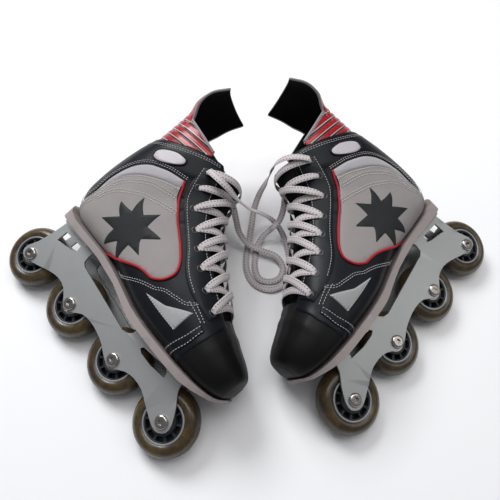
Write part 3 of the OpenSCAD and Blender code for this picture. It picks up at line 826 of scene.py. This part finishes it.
def wheel(side, i):
    """Tyre, hub, grey ring and shielded bearings of one wheel, built about its own axle."""
    at = np.array([(i - 2.5) * AXLE_GAP, 0, AXLE_Z])
    body = f"{side}_wheel_{i}"
    crown = [(26 + 10 * math.sin(a), 12 * math.cos(a)) for a in np.linspace(0, math.pi, 41)]
    crown = [(min(r, 35.85) + (0.10 if abs(y) < 0.35 else 0), y) for r, y in crown]
    v, f, uv = lathe([(21.7, 10.2), (22.6, 10.9), (24.0, 11.5)] + crown
                     + [(24.0, -11.5), (22.6, -10.9), (21.7, -10.2)], 120)
    tidy_normals(local_mesh(f"{side}_tyre_form_{i}", side, v + at, f, MAT["urethane"], "urethane",
                            body=body, uv=uv, replaces=[f"{side}_tyre_{i}"]))
    parts = [lathe(round_profile([(19.2, -10.4), (21.4, -10.4), (21.4, 10.4), (19.2, 10.4)], 0.5), 96),
             lathe(round_profile([(11.03, -12), (13.2, -12), (13.9, -10.5), (13.9, 10.5), (13.2, 12),
                                  (11.03, 12), (11.03, 5.1), (8.0, 5.1), (8.0, -5.1), (11.03, -5.1)],
                                  0.3), 72),
             lathe(round_profile([(13.6, -1.1), (19.6, -1.1), (19.6, 1.1), (13.6, 1.1)], 0.3), 96)]
    for k in range(10):
        a = k * math.pi / 5
        w = 1.15
        u, t = np.array([math.cos(a), 0, math.sin(a)]), np.array([-math.sin(a), 0, math.cos(a)])
        rings = []
        for r, flare in ((13.3, 1.9), (14.6, 1.2), (16.6, 1.0), (18.4, 1.3), (19.6, 2.1)):
            ring = [(w * flare, 8.6), (w * flare * 0.8, 9.2), (-w * flare * 0.8, 9.2), (-w * flare, 8.6),
                    (-w * flare, -8.6), (-w * flare * 0.8, -9.2), (w * flare * 0.8, -9.2),
                    (w * flare, -8.6)]
            rings.append([u * r + t * x + np.array([0, y, 0]) for x, y in ring])
        parts.append((np.array(rings).reshape(-1, 3), grid_faces(5, 8, wrap=True)
                      + [tuple(range(8)), tuple(range(39, 31, -1))]))
    v, f, uv = join(parts)
    tidy_normals(local_mesh(f"{side}_hub_form_{i}", side, v + at, f, MAT["hub"], "hub_plastic", body=body,
                            smooth=40, replaces=[f"{side}_hub_{i}"]))
    parts = [lathe(round_profile([(20.6, y0), (22.4, y0), (22.4, y0 + 1.1), (20.6, y0 + 1.1)], 0.35), 96)
             for y0 in (10.25, -11.35)]
    v, f, uv = join(parts)
    tidy_normals(local_mesh(f"{side}_hub_ring_{i}", side, v + at, f, MAT["ring"], "bearing_steel",
                            body=body, smooth=50))
    parts = []
    for e in (1, -1):
        out = [(6.25, 11.2), (8.6, 11.2), (8.9, 11.45), (9.3, 11.45), (9.5, 11.9), (10.9, 11.9),
               (10.98, 5.1), (6.3, 5.1)]
        parts.append(lathe(round_profile([(r, y * e) for r, y in out], 0.12, 3), 72))
    v, f, uv = join(parts)
    tidy_normals(local_mesh(f"{side}_bearing_form_{i}", side, v + at, f, MAT["steel"], "bearing_steel",
                            body=body, smooth=40,
                            replaces=[f"{side}_bearings_{i}"]))


for side in SIDES:
    for i in range(1, 5):
        wheel(side, i)

# ---------------------------------------------------------------- seams and panels of the boot
BAND_TOP = [(11.44, 1.00), (11.62, 0.82), (11.94, 0.72), (12.64, 0.69), (13.12, 0.65), (13.37, 0.60),
            (13.40, 0.53), (13.14, 0.44), (12.80, 0.38), (12.42, 0.33)]
MAIN_TOP = [(11.35, 1.00), (11.55, 0.80), (12.0, 0.71), (12.45, 0.66), (12.72, 0.61), (12.74, 0.53),
            (12.5, 0.44), (12.17, 0.375), (11.82, 0.335)]
PIPING = [(12.42, 0.33), (11.62, 0.32), (10.49, 0.32), (9.47, 0.33), (8.62, 0.335), (8.09, 0.34),
          (7.43, 0.355), (7.08, 0.385), (7.05, 0.43), (7.27, 0.48), (8.03, 0.57), (8.66, 0.71),
          (9.15, 0.82), (9.77, 1.00)]
STITCH_A = [(11.29, 0.88), (11.64, 0.70), (12.27, 0.63), (12.42, 0.56), (12.26, 0.46), (11.79, 0.39),
            (11.22, 0.335)]
STITCH_B = [(11.60, 0.68), (11.82, 0.62), (11.83, 0.56), (11.49, 0.46), (10.86, 0.39), (10.08, 0.33)]
LONG = [(8.90, 0.97), (7.73, 0.64), (6.86, 0.48), (6.22, 0.43), (5.59, 0.38), (5.2, 0.26), (4.98, 0.19)]
TRIANGLE = [(7.0, 0.60), (5.12, 0.385), (5.09, 0.575)]
TOE_SEAM = [(0.14, 3.9), (0.20, 3.87), (0.37, 3.87), (0.52, 4.02), (0.75, 4.14), (0.9, 4.25), (1.0, 4.3)]
BADGE = [(13.97, 0.585), (14.28, 0.60), (14.44, 0.575), (14.49, 0.52), (14.44, 0.46), (14.18, 0.40),
         (13.86, 0.385), (13.64, 0.40), (13.60, 0.46), (13.72, 0.53)]
THROAT = [(3.8, 0.15), (4.25, 0.15), (5.02, 0.155), (6.25, 0.17), (7.06, 0.185), (8.74, 0.18),
          (9.88, 0.17), (12, 0.15), (14.04, 0.14), (15, 0.15)]


def shell_relief(s, q):
    """Gentle shape of the upper: a padded collar and the ankle's creases, all lowered by 0.25 mm."""
    t = np.abs((q + 1) % 2 - 1)
    collar = np.clip((s - lookup(t, [(0.3, 12.6), (0.44, 13.15), (0.55, 13.45), (0.65, 13.2),
                                     (0.72, 12.1), (1, 11.6)])) / 0.5, 0, 1)
    puff = 0.9 * np.sin(np.clip(collar, 0, 1) * np.pi / 2) * (1 - np.clip((s - 14.4) / 0.6, 0, 1) ** 2)
    crease = sum(a * np.exp(-((s - s0 - k * (t - 0.3)) / w) ** 2) * np.clip(1 - (t - 0.3) / 0.35, 0, 1)
                 for s0, w, k, a in ((9.3, 0.10, 1.4, -0.7), (10.1, 0.12, 1.0, -0.8),
                                     (11.0, 0.12, 0.6, -0.6), (5.3, 0.10, 0.8, -0.4)))
    return puff + crease - 0.25


def make_upper(side):
    """The black upper, open along the throat, that stands for shell and side panels."""
    ns, nq = 150, 150
    rows_s = np.linspace(0, 1, ns)
    outer, inner = np.zeros((ns, nq, 3)), np.zeros((ns, nq, 3))
    uv = np.zeros((ns, nq, 2))
    for i, f in enumerate(rows_s):
        for_s = 4.0 + 11.0 * f
        edge = lookup(for_s, THROAT)
        q = edge + (2 - 2 * edge) * np.linspace(0, 1, nq)
        t = np.minimum(q, 2 - q)
        s = lookup(t, TOE_SEAM) + (15 - lookup(t, TOE_SEAM)) * f
        q_signed = around(q)
        lip = 0.9 * np.exp(-((s - lookup(t, TOE_SEAM)) / 0.22) ** 2)
        h = shell_relief(s, q_signed) + lip
        p = skin(BOOT, s, q_signed)
        nn = normal(BOOT, s, q_signed)
        outer[i] = p + nn * h[:, None]
        inner[i] = p - nn * 2.6
        uv[i] = np.stack([p[:, 0], p[:, 2]], 1)
    slab_piece(f"{side}_upper", side, outer, inner, MAT["black"], "black_upper", uv=uv,
               replaces=[f"{side}_shell", f"{side}_side_panels"])


def burst(cx, cz, big, small, points, turn):
    """A plain many-pointed burst in the side view, as (s, q) corner lines."""
    out = []
    for k in range(points * 2):
        a = math.radians(turn) + k * math.pi / points
        r = (big if k % 2 == 0 else small) * (1.0 if k % 4 else 1.12)
        out.append(find(cx + r * math.cos(a), cz + r * math.sin(a)))
    return [[out[i], out[(i + 1) % len(out)]] for i in range(len(out))]


def make_panels(side):
    """What is sewn on the upper: panels, patches, facings, badge, piping and stitches."""
    threads, pale, pipes = [], [], []
    for way, tag in ((1, "outer"), (-1, "inner")):
        quarter = [MAIN_TOP, [MAIN_TOP[-1], (10.49, 0.325), (9.47, 0.335), (8.62, 0.34), (8.09, 0.345),
                              (7.43, 0.36), (7.1, 0.388), (7.07, 0.43), (7.29, 0.48), (8.05, 0.57),
                              (8.68, 0.71), (9.17, 0.82), (9.77, 1.00)],
                              [(9.77, 1.0), (10.5, 1.0), (11.35, 1.0)]]
        panel(f"{side}_quarter_{tag}", side, quarter, MAT["grey"], "grey_panel", height=0.7, edge=1.0,
              way=way, puff=0.5, spacing=3.0, uv_turn=62)
        band = [BAND_TOP, [BAND_TOP[-1], MAIN_TOP[-1]], MAIN_TOP[::-1], [(11.35, 1.0), (11.44, 1.0)]]
        panel(f"{side}_band_{tag}", side, band, MAT["band"], "grey_panel", height=1.0, edge=1.4, way=way,
              puff=0.7, spacing=2.4, uv_turn=62)
        panel(f"{side}_emblem_{tag}", side, burst(-46, 143, 36, 20, 8, 24), MAT["emblem"], "black_upper",
              height=1.5, edge=0.5, base=0.9, way=way, spacing=3.0, step=1.2)
        tri = [[TRIANGLE[0], TRIANGLE[1]], [TRIANGLE[1], TRIANGLE[2]], [TRIANGLE[2], TRIANGLE[0]]]
        panel(f"{side}_patch_{tag}", side, tri, MAT["patch"], "grey_panel", height=0.9, edge=0.9, way=way,
              spacing=3.0)
        facing = [[(4.3, 0.165), (5.02, 0.165), (6.25, 0.18), (7.06, 0.195), (8.74, 0.19), (9.88, 0.18),
                   (12, 0.16), (14.0, 0.15)],
                  [(14.0, 0.15), (14.15, 0.2), (14.05, 0.28)],
                  [(14.05, 0.28), (12.6, 0.30), (11, 0.30), (9.4, 0.305), (8.0, 0.315), (6.8, 0.345),
                   (5.8, 0.35), (5.0, 0.33), (4.4, 0.30)],
                  [(4.4, 0.30), (4.3, 0.165)]]
        panel(f"{side}_facing_{tag}", side, facing, MAT["collar"], "black_upper", height=0.9, edge=1.0,
              way=way, spacing=3.2)
        toe_band = [[(4.12, 0.36), (4.2, 0.55), (4.42, 0.75), (4.62, 0.97)], [(4.62, 0.97), (5.12, 0.97)],
                    [(5.12, 0.97), (4.86, 0.72), (4.62, 0.5), (4.5, 0.36)], [(4.5, 0.36), (4.12, 0.36)]]
        panel(f"{side}_toe_band_{tag}", side, toe_band, MAT["collar"], "black_upper", height=0.9,
              edge=0.9, way=way, spacing=3.0)
        if way > 0:
            outline = [BADGE + [BADGE[0]]]
            panel(f"{side}_badge", side, outline, MAT["badge"], "grey_panel", height=1.9, edge=1.0,
                  base=0.5, way=way, spacing=2.5)
            b = line(BADGE + [BADGE[0]], way, 1.2)
            v, f, uv = tube_mesh(on(b[:-1, 0], b[:-1, 1], 1.5), 1.0, 8, closed=True)
            pipes.append(("trim", v, f, uv))
            threads += stitch_parts(aside(b, 2.6), 0.7)
        # piping along the front and lower edge of the grey panels
        pl = line(PIPING, way, 2.0)
        v, f, uv = tube_mesh(on(pl[:, 0], pl[:, 1], 0.9), 1.35, 10)
        pipes.append(("piping", v, f, uv))
        # stitched lines
        dashes = [(aside(pl, 3.4 * way), 0.25), (line(LONG, way), 0.2), (aside(line(LONG, way), 2.4), 0.2)]
        top = line(BAND_TOP, way)
        dashes += [(aside(top, -3.0 * way), 0.9), (aside(top, -5.2 * way), 0.95)]
        dashes += [(line([(5.59, 0.375), (5.1, 0.37), (4.6, 0.365)], way), 1.1),
                   (line([(5.34, 0.345), (5.0, 0.345), (4.5, 0.34)], way), 1.1)]
        dashes += [(line([(5.02, 0.93), (4.78, 0.72), (4.56, 0.5), (4.46, 0.38)], way), 1.0),
                   (line([(4.70, 0.93), (4.52, 0.75), (4.3, 0.55), (4.22, 0.38)], way), 1.0)]
        tri_line = [(6.85, 0.592), (5.17, 0.405), (5.15, 0.565), (6.85, 0.592)]
        dashes += [(line(tri_line[k:k + 2], way, smooth=False), 0.95) for k in range(3)]
        collar = line([(14.78, 0.97), (14.80, 0.75), (14.80, 0.5), (14.80, 0.3), (14.75, 0.19)], way)
        dashes += [(collar, 0.3), (aside(collar, 2.3 * way), 0.55)]
        dashes += [(line([(4.6, 0.185), (5.6, 0.19), (7.06, 0.21), (8.74, 0.205), (9.88, 0.195),
                          (12, 0.18), (13.85, 0.17)], way), 0.95),
                   (line([(13.8, 0.285), (12.6, 0.285), (11, 0.285), (9.4, 0.29), (8.0, 0.30),
                          (6.8, 0.325), (5.9, 0.33)], way), 0.95)]
        for sq, h in dashes:
            threads += stitch_parts(sq, h)
        for pts, h in ((STITCH_A, 1.25), (STITCH_B, 1.3)):
            pale += stitch_parts(line(pts, way), h, pitch=3.6, length=2.6, r=0.36)
            pale += stitch_parts(aside(line(pts, way), 3.2), h, pitch=3.6, length=2.6, r=0.36)
        low = aside(line(MAIN_TOP, way), 1.8 * way)
        pale += stitch_parts(low, 1.1, pitch=3.6, length=2.6, r=0.34)
    v, f, _ = join(threads)
    local_mesh(f"{side}_white_stitching", side, v, f, MAT["thread"], "lace_cloth")
    v, f, _ = join(pale)
    local_mesh(f"{side}_grey_stitching", side, v, f, MAT["greythread"], "lace_cloth")
    for key in ("piping", "trim"):
        v, f, uv = join([(a, b, c) for k, a, b, c in pipes if k == key])
        tidy_normals(local_mesh(f"{side}_{key}_cord", side, v, f, MAT[key], "red_guard"
                                if key == "piping" else "black_upper", uv=uv))
    # back strip over the heel seam
    s = np.linspace(11.5, 14.9, 40)
    strip_o = np.stack([on(s, np.full(40, 1 + d), 1.3 - 14 * d * d)
                        for d in np.linspace(-0.045, 0.045, 9)], 1)
    strip_i = np.stack([on(s, np.full(40, 1 + d), 0.1) for d in np.linspace(-0.045, 0.045, 9)], 1)
    slab_piece(f"{side}_heel_strip", side, strip_o, strip_i, MAT["collar"], "black_upper")


def make_toe_cap(side):
    ns, nq = 46, 96
    q = np.linspace(-1, 1, nq, endpoint=False)
    t = np.abs(q)
    end = lookup(t, TOE_SEAM) + 0.25
    outer, inner = [], []
    for f in np.linspace(0, 1, ns):
        s = end * f
        bump = (1.3 * np.exp(-((s - end + 0.75) / 0.22) ** 2)
                * np.clip(1 - np.maximum(t - 0.28, 0) / 0.2, 0, 1))
        ribs = 0.22 * np.sin(q * 46) * np.clip((s - 1.6) / 1.2, 0, 1) * np.clip((0.42 - t) / 0.12, 0, 1)
        h = 0.0 + bump * 0.6 + ribs - 0.4 * np.clip((s - end + 0.35) / 0.3, 0, 1)
        outer.append(skin(BOOT, s, q) + normal(BOOT, np.maximum(s, 0.05), q) * h[:, None])
        inner.append(skin(BOOT, 0.3 + (end - 0.3) * f, q, -3.6))
    outer, inner = np.array(outer), np.array(inner)
    o, w = outer.reshape(-1, 3), inner.reshape(-1, 3)
    nose = outer[0].mean(0)
    front = []
    for k, f in enumerate((0.75, 0.5, 0.25)):
        ring = nose + (outer[0] - nose) * f
        ring[:, 0] += 0.9 * (1 - f ** 2)
        front.append(ring)
    centre = nose + np.array([0.9, 0, 0])
    verts = np.vstack([o, *front, centre[None], w])
    faces = grid_faces(ns, nq, wrap=True)
    b0 = ns * nq
    rings = [np.arange(nq)] + [b0 + k * nq + np.arange(nq) for k in range(3)]
    for u, v in zip(rings, rings[1:]):
        faces += [(v[j], v[(j + 1) % nq], u[(j + 1) % nq], u[j]) for j in range(nq)]
    c = b0 + 3 * nq
    faces += [(c, rings[3][(j + 1) % nq], rings[3][j]) for j in range(nq)]
    b1 = c + 1
    faces += [tuple(b1 + k for k in f[::-1]) for f in grid_faces(ns, nq, wrap=True)]
    faces += [tuple(b1 + j for j in range(nq))]
    last = (ns - 1) * nq
    faces += [(last + j, last + (j + 1) % nq, b1 + last + (j + 1) % nq, b1 + last + j) for j in range(nq)]
    uv = np.stack([verts[:, 1], verts[:, 0]], 1)
    tidy_normals(local_mesh(f"{side}_toe_cap_form", side, verts, faces, MAT["toe"], "toe_plastic", uv=uv,
                            smooth=60, replaces=[f"{side}_toe_cap"]))


def make_inside(side):
    s = np.linspace(4.55, 11.6, 60)
    q = np.linspace(0.17, 1.83, 90)
    S, Q = np.meshgrid(s, q, indexing="ij")
    Q = around(Q)
    slab_piece(f"{side}_lining_form", side, skin(BOOT, S, Q, -3.4), skin(BOOT, S, Q, -5.7), MAT["lining"],
               "lining_felt", replaces=[f"{side}_lining"])
    S, Q = np.meshgrid(np.linspace(1.6, 10.4, 60), np.linspace(0.79, 1.21, 30), indexing="ij")
    Q = around(Q)
    slab_piece(f"{side}_footbed_form", side, skin(BOOT, S, Q, -10.2), skin(BOOT, S, Q, -6.9),
               MAT["footbed"], "footbed_foam", replaces=[f"{side}_footbed"])


def puff(ob, voxel, pressure, cap, frames=14):
    """Inflates a pad a little by a cloth simulation and keeps the result, no point moved more than cap."""
    remesh = ob.modifiers.new("remesh", "REMESH")
    remesh.mode = "VOXEL"
    remesh.voxel_size = voxel
    apply_modifiers(ob)
    rest = np.array([v.co for v in ob.data.vertices])
    c = ob.modifiers.new("cloth", "CLOTH")
    c.settings.quality = 4
    c.settings.use_pressure = True
    c.settings.uniform_pressure_force = pressure
    c.settings.tension_stiffness = 12
    c.settings.effector_weights.gravity = 0
    c.point_cache.frame_start, c.point_cache.frame_end = 1, frames
    scene = bpy.context.scene
    for k in range(1, frames + 1):
        scene.frame_set(k)
    dg = bpy.context.evaluated_depsgraph_get()
    new = np.array([v.co for v in ob.evaluated_get(dg).data.vertices])
    ob.modifiers.remove(c)
    if len(new) == len(rest) and np.isfinite(new).all():
        d = new - rest
        r = np.linalg.norm(d, axis=1, keepdims=True)
        ob.data.vertices.foreach_set("co", (rest + d * np.minimum(1, cap / np.maximum(r, 1e-9))).ravel())
    ob.data.update()
    scene.frame_set(1)
    sub = ob.modifiers.new("smooth", "SUBSURF")
    sub.levels = sub.render_levels = 1
    ob.data.shade_smooth()


def apply_modifiers(ob):
    dg = bpy.context.evaluated_depsgraph_get()
    me = bpy.data.meshes.new_from_object(ob.evaluated_get(dg))
    ob.modifiers.clear()
    old = ob.data
    ob.data = me
    if not me.materials:
        for m in old.materials:
            me.materials.append(m)


def tongue_off(s):
    return lookup(s, [(4, -7), (8, -6), (9.5, -2), (10.5, 3), (11.5, 7), (12.5, 10), (14, 15)])


def tongue_q(s):
    return lookup(s, [(4, 0.2), (8, 0.19), (9, 0.13), (10.5, 0.13), (14, 0.16)])


def make_pads(side):
    # collar padding
    s = np.linspace(11.6, 14.98, 34)
    q = np.linspace(0.175, 1.825, 90)
    S, Q = np.meshgrid(s, q, indexing="ij")
    Q = around(Q)
    swell = 0.4 * np.sin((S - 11.6) / 3.4 * np.pi)
    pad = slab_piece(f"{side}_collar_pad", side, skin(BOOT, S, Q, -3.5), skin(BOOT, S, Q, -8.7 - swell),
                     MAT["felt"], "lining_felt",
                     replaces=[f"{side}_collar_padding"])
    puff(pad, 0.003, 3.0, 0.0012)
    # tongue: a felt pad, fuller along its middle, with half-round edges
    s = np.linspace(4.15, 13.55, 80)
    f = np.linspace(-1, 1, 21)
    S, F = np.meshgrid(s, f, indexing="ij")
    Q = F * tongue_q(S) * 0.97
    crown = 0.7 * (1 - F ** 2)
    outer = skin(BOOT, S, Q, tongue_off(S) - 0.6 + crown)
    inner = skin(BOOT, S, Q, tongue_off(S) - 4.4)
    ton = slab_piece(f"{side}_tongue_pad", side, outer, inner, MAT["tongue"], "tongue_felt",
                     replaces=[f"{side}_tongue"])
    puff(ton, 0.003, 2.5, 0.0008)


def make_eyelets_and_lace(side):
    parts = []
    for s in EYELETS:
        for q in (EYELET_Q, -EYELET_Q):
            p = on(np.array([s]), np.array([q]), 0.9)[0]
            n = normal(BOOT, np.array([s]), np.array([q]))[0]
            a = unit(np.cross(n, [0.3, 0.5, 0.81]))
            b = np.cross(n, a)
            v, f, uv = lathe(round_profile([(2.3, -0.7), (3.0, 0.55), (4.1, 0.35), (4.3, -0.5),
                                            (2.3, -0.9)], 0.35, 3), 32)
            parts.append((p + v[:, 0:1] * a + v[:, 1:2] * n + v[:, 2:3] * b, f, uv))
    v, f, uv = join(parts)
    tidy_normals(local_mesh(f"{side}_eyelet_rings", side, v, f, MAT["eyelet"], "eyelet_black", smooth=50,
                            replaces=[f"{side}_eyelets"]))

    parts = []

    def strand(s0, s1, way, lift, wobble):
        top = max(STRAND_LIFT, tongue_off((s0 + s1) / 2) + 2.5) + lift
        f = np.linspace(0, 1, 49)
        rise = 1 - np.abs(2 * f - 1) ** 4
        q = way * (EYELET_Q + (-2 * EYELET_Q) * f)
        s = s0 + (s1 - s0) * f + wobble * np.sin(f * np.pi) ** 2
        h = STRAND_LIFT + (top - STRAND_LIFT) * rise
        end = np.minimum(f, 1 - f)
        h = np.where(end < 0.045, -1.2 + (h + 1.2) * (end / 0.045) ** 0.6, h)
        p = skin(BOOT, s, q, h)
        ref = normal(BOOT, s, q)
        w = LACE_W / 2 * (0.66 + 0.34 * np.clip(end / 0.09, 0, 1) ** 0.7)
        t = 0.75 * (1.5 - 0.5 * np.clip(end / 0.12, 0, 1))
        return tube_mesh(p, 0, 14, ref=ref, flat=(w, t))

    last = len(EYELETS) - 1
    parts.append(strand(EYELETS[0], EYELETS[0], 1, 0, 0))
    for k in range(last):
        parts.append(strand(EYELETS[k], EYELETS[k + 1], -1, 0, 0.05 * (-1) ** k))
    for k in range(last - 1):
        parts.append(strand(EYELETS[k], EYELETS[k + 1], 1, OVER_LIFT, 0.06 * (-1) ** k))
    v, f, uv = join(parts)
    tidy_normals(local_mesh(f"{side}_crossed_lace", side, v, f, MAT["lace"], "lace_cloth", uv=uv,
                            replaces=[f"{side}_lace"]))


def make_guard(side):
    body = f"{side}_guard"
    half = np.unique(np.r_[0.3, np.linspace(0.3, 0.66, 26), np.linspace(0.66, 0.72, 16),
                           np.linspace(0.72, 1, 30)])
    cols = np.r_[half, 2 - half[-2::-1]]
    tops = lookup(np.minimum(cols, 2 - cols), [(0.66, 2.0), (0.72, 5.0)])
    rows = 70
    F, Q = np.meshgrid(np.linspace(0, 1, rows), cols, indexing="ij")
    S = F * tops[None, :]
    Qs = around(Q)
    p = skin(GUARD, S, Qs)
    z = p[..., 2]
    # ribs climb a little from back to front, and stay on the low wrap
    level = (z - RIB_FOOT - RIB_RISE * (p[..., 0] - GUARD[1, 0])) / RIB_PITCH
    frac = level - np.floor(level)
    on_sides = np.clip((2.02 - S) / 0.12, 0, 1)
    swell = np.sin(np.clip((frac - GROOVE) / (1 - GROOVE), 0, 1) * np.pi) ** 0.5
    rib = np.where(frac < GROOVE, -GROOVE_DEPTH, RIB_HEIGHT * swell) * on_sides
    n = normal(GUARD, np.clip(S, 0.05, 4.95), Qs)
    outer = p + n * (rib - 0.55)[..., None]
    inner = skin(GUARD, S, Qs, -1.9)
    g = np.where(on_sides > 0.5, frac, 0.6)
    uv = np.stack([p[..., 0], g], -1)
    slab_piece(f"{side}_guard_shell", side, outer, inner, MAT["guard"], "red_guard", body=body, uv=uv,
               replaces=[f"{side}_tendon_guard"])
    felt_out = skin(GUARD, S * 0.995, Qs, -2.0)
    felt_in = skin(GUARD, S * 0.995, Qs, -3.8)
    pad = slab_piece(f"{side}_guard_felt", side, felt_out, felt_in, MAT["felt"], "lining_felt", body=body)
    # pale binding round the flap's rim
    top = skin(GUARD, tops, around(cols), -1.6)
    v, f, uv = tube_mesh(resample(top, 2.0), 1.5, 10)
    local_mesh(f"{side}_guard_binding", side, v, f, MAT["rim"], "grey_panel", body=body, uv=uv)
    threads = []
    low = [k for k in range(len(cols)) if min(cols[k], 2 - cols[k]) < 0.655]
    for keep in ([k for k in low if cols[k] < 1], [k for k in low if cols[k] > 1]):
        qs = cols[keep]
        sq = np.stack([np.full(len(qs), 1.9), around(qs)], 1)
        threads += stitch_parts(sq, 0.35, rows=GUARD)
    v, f, _ = join(threads)
    local_mesh(f"{side}_guard_stitching", side, v, f, MAT["thread"], "lace_cloth", body=body)


for side in SIDES:
    make_upper(side)
    make_panels(side)
    make_toe_cap(side)
    make_inside(side)
    make_pads(side)
    make_eyelets_and_lace(side)
    make_guard(side)


# ---------------------------------------------------------------- the free laces
def free_lace(name, route, node_name):
    p = catmull(route, np.linspace(0, len(route) - 1, (len(route) - 1) * 16 + 1))
    p = resample(p * 1000, 1.6)
    t = unit(np.gradient(p, axis=0))
    across = unit(np.cross(t, [0, 0, 1.0]))
    for _ in range(6):
        across = unit(np.vstack([across[:1], (across[:-2] + across[1:-1] * 2 + across[2:]) / 4,
                                 across[-1:]]))
    up = np.cross(across, t)
    v, f, uv = tube_mesh(p, 0, 16, ref=up, flat=(LACE_W / 2, 0.75))
    ob = add_mesh(name, v / 1000, f, MAT["lace"], "lace_cloth", uv=uv, replaces=[node_name])
    tidy_normals(ob)
    return ob


free_lace("outer_lace_run", OUTER_LACE, "outer_free_lace")
free_lace("inner_lace_run", INNER_LACE, "inner_free_lace")

# ---------------------------------------------------------------- floor, light, camera
centre = (CAD_BOX[0] + CAD_BOX[1]) / 2
bm = bmesh.new()
bmesh.ops.create_grid(bm, x_segments=8, y_segments=8, size=6)
floor_mesh = bpy.data.meshes.new("floor")
bm.to_mesh(floor_mesh)
bm.free()
floor = bpy.data.objects.new("floor", floor_mesh)
bpy.context.scene.collection.objects.link(floor)
floor.location = (centre.x, centre.y, min(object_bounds()[0].z, 0) - 0.0002)
fm = Shader("floor_paper", (0.86, 0.86, 0.87), 0.9)
fm.colour(fm.mix(fm.noise(fm.coords(), 6, 2), (0.86, 0.86, 0.87), (0.88, 0.88, 0.885)))
floor_mesh.materials.append(fm.mat)


def area(name, at, aim, size, power, colour=(1, 1, 1)):
    data = bpy.data.lights.new(name, "AREA")
    data.shape = "RECTANGLE"
    data.size, data.size_y = size
    data.energy = power
    data.color = colour
    ob = bpy.data.objects.new(name, data)
    bpy.context.scene.collection.objects.link(ob)
    ob.location = at
    ob.rotation_mode = "QUATERNION"
    ob.rotation_quaternion = (Vector(aim) - Vector(at)).to_track_quat("-Z", "Y")


area("window", (-0.8, 1.2, 1.5), centre, (1.0, 0.8), 34, (0.97, 0.98, 1.0))
area("fill", (1.3, 0.1, 1.6), centre, (1.0, 1.0), 5, (1.0, 0.98, 0.96))
area("top", (0.1, 0.5, 2.2), centre, (1.4, 1.4), 20)
world = bpy.data.worlds.new("studio")
bpy.context.scene.world = world
world.use_nodes = True
world.node_tree.nodes["Background"].inputs["Color"].default_value = (0.93, 0.95, 1.0, 1)
world.node_tree.nodes["Background"].inputs["Strength"].default_value = 0.22

# Camera: place in metres, turns in degrees, lens in mm
CAMERA_AT = (-0.0437, -0.2461, 0.52155)
CAMERA_TILT = 28.7
CAMERA_ROLL = -3.69
CAMERA_LENS = 33.29
cam_data = bpy.data.cameras.new("camera")
cam_data.sensor_width = 36
cam_data.lens = CAMERA_LENS
camera = bpy.data.objects.new("camera", cam_data)
bpy.context.scene.collection.objects.link(camera)
camera.matrix_world = (Matrix.Translation(CAMERA_AT) @ Matrix.Rotation(math.radians(CAMERA_TILT), 4, "X")
                       @ Matrix.Rotation(math.radians(CAMERA_ROLL), 4, "Y"))
cam_data.clip_start, cam_data.clip_end = 0.01, 50
bpy.context.scene.camera = camera
bpy.context.scene.view_settings.view_transform = "Standard"
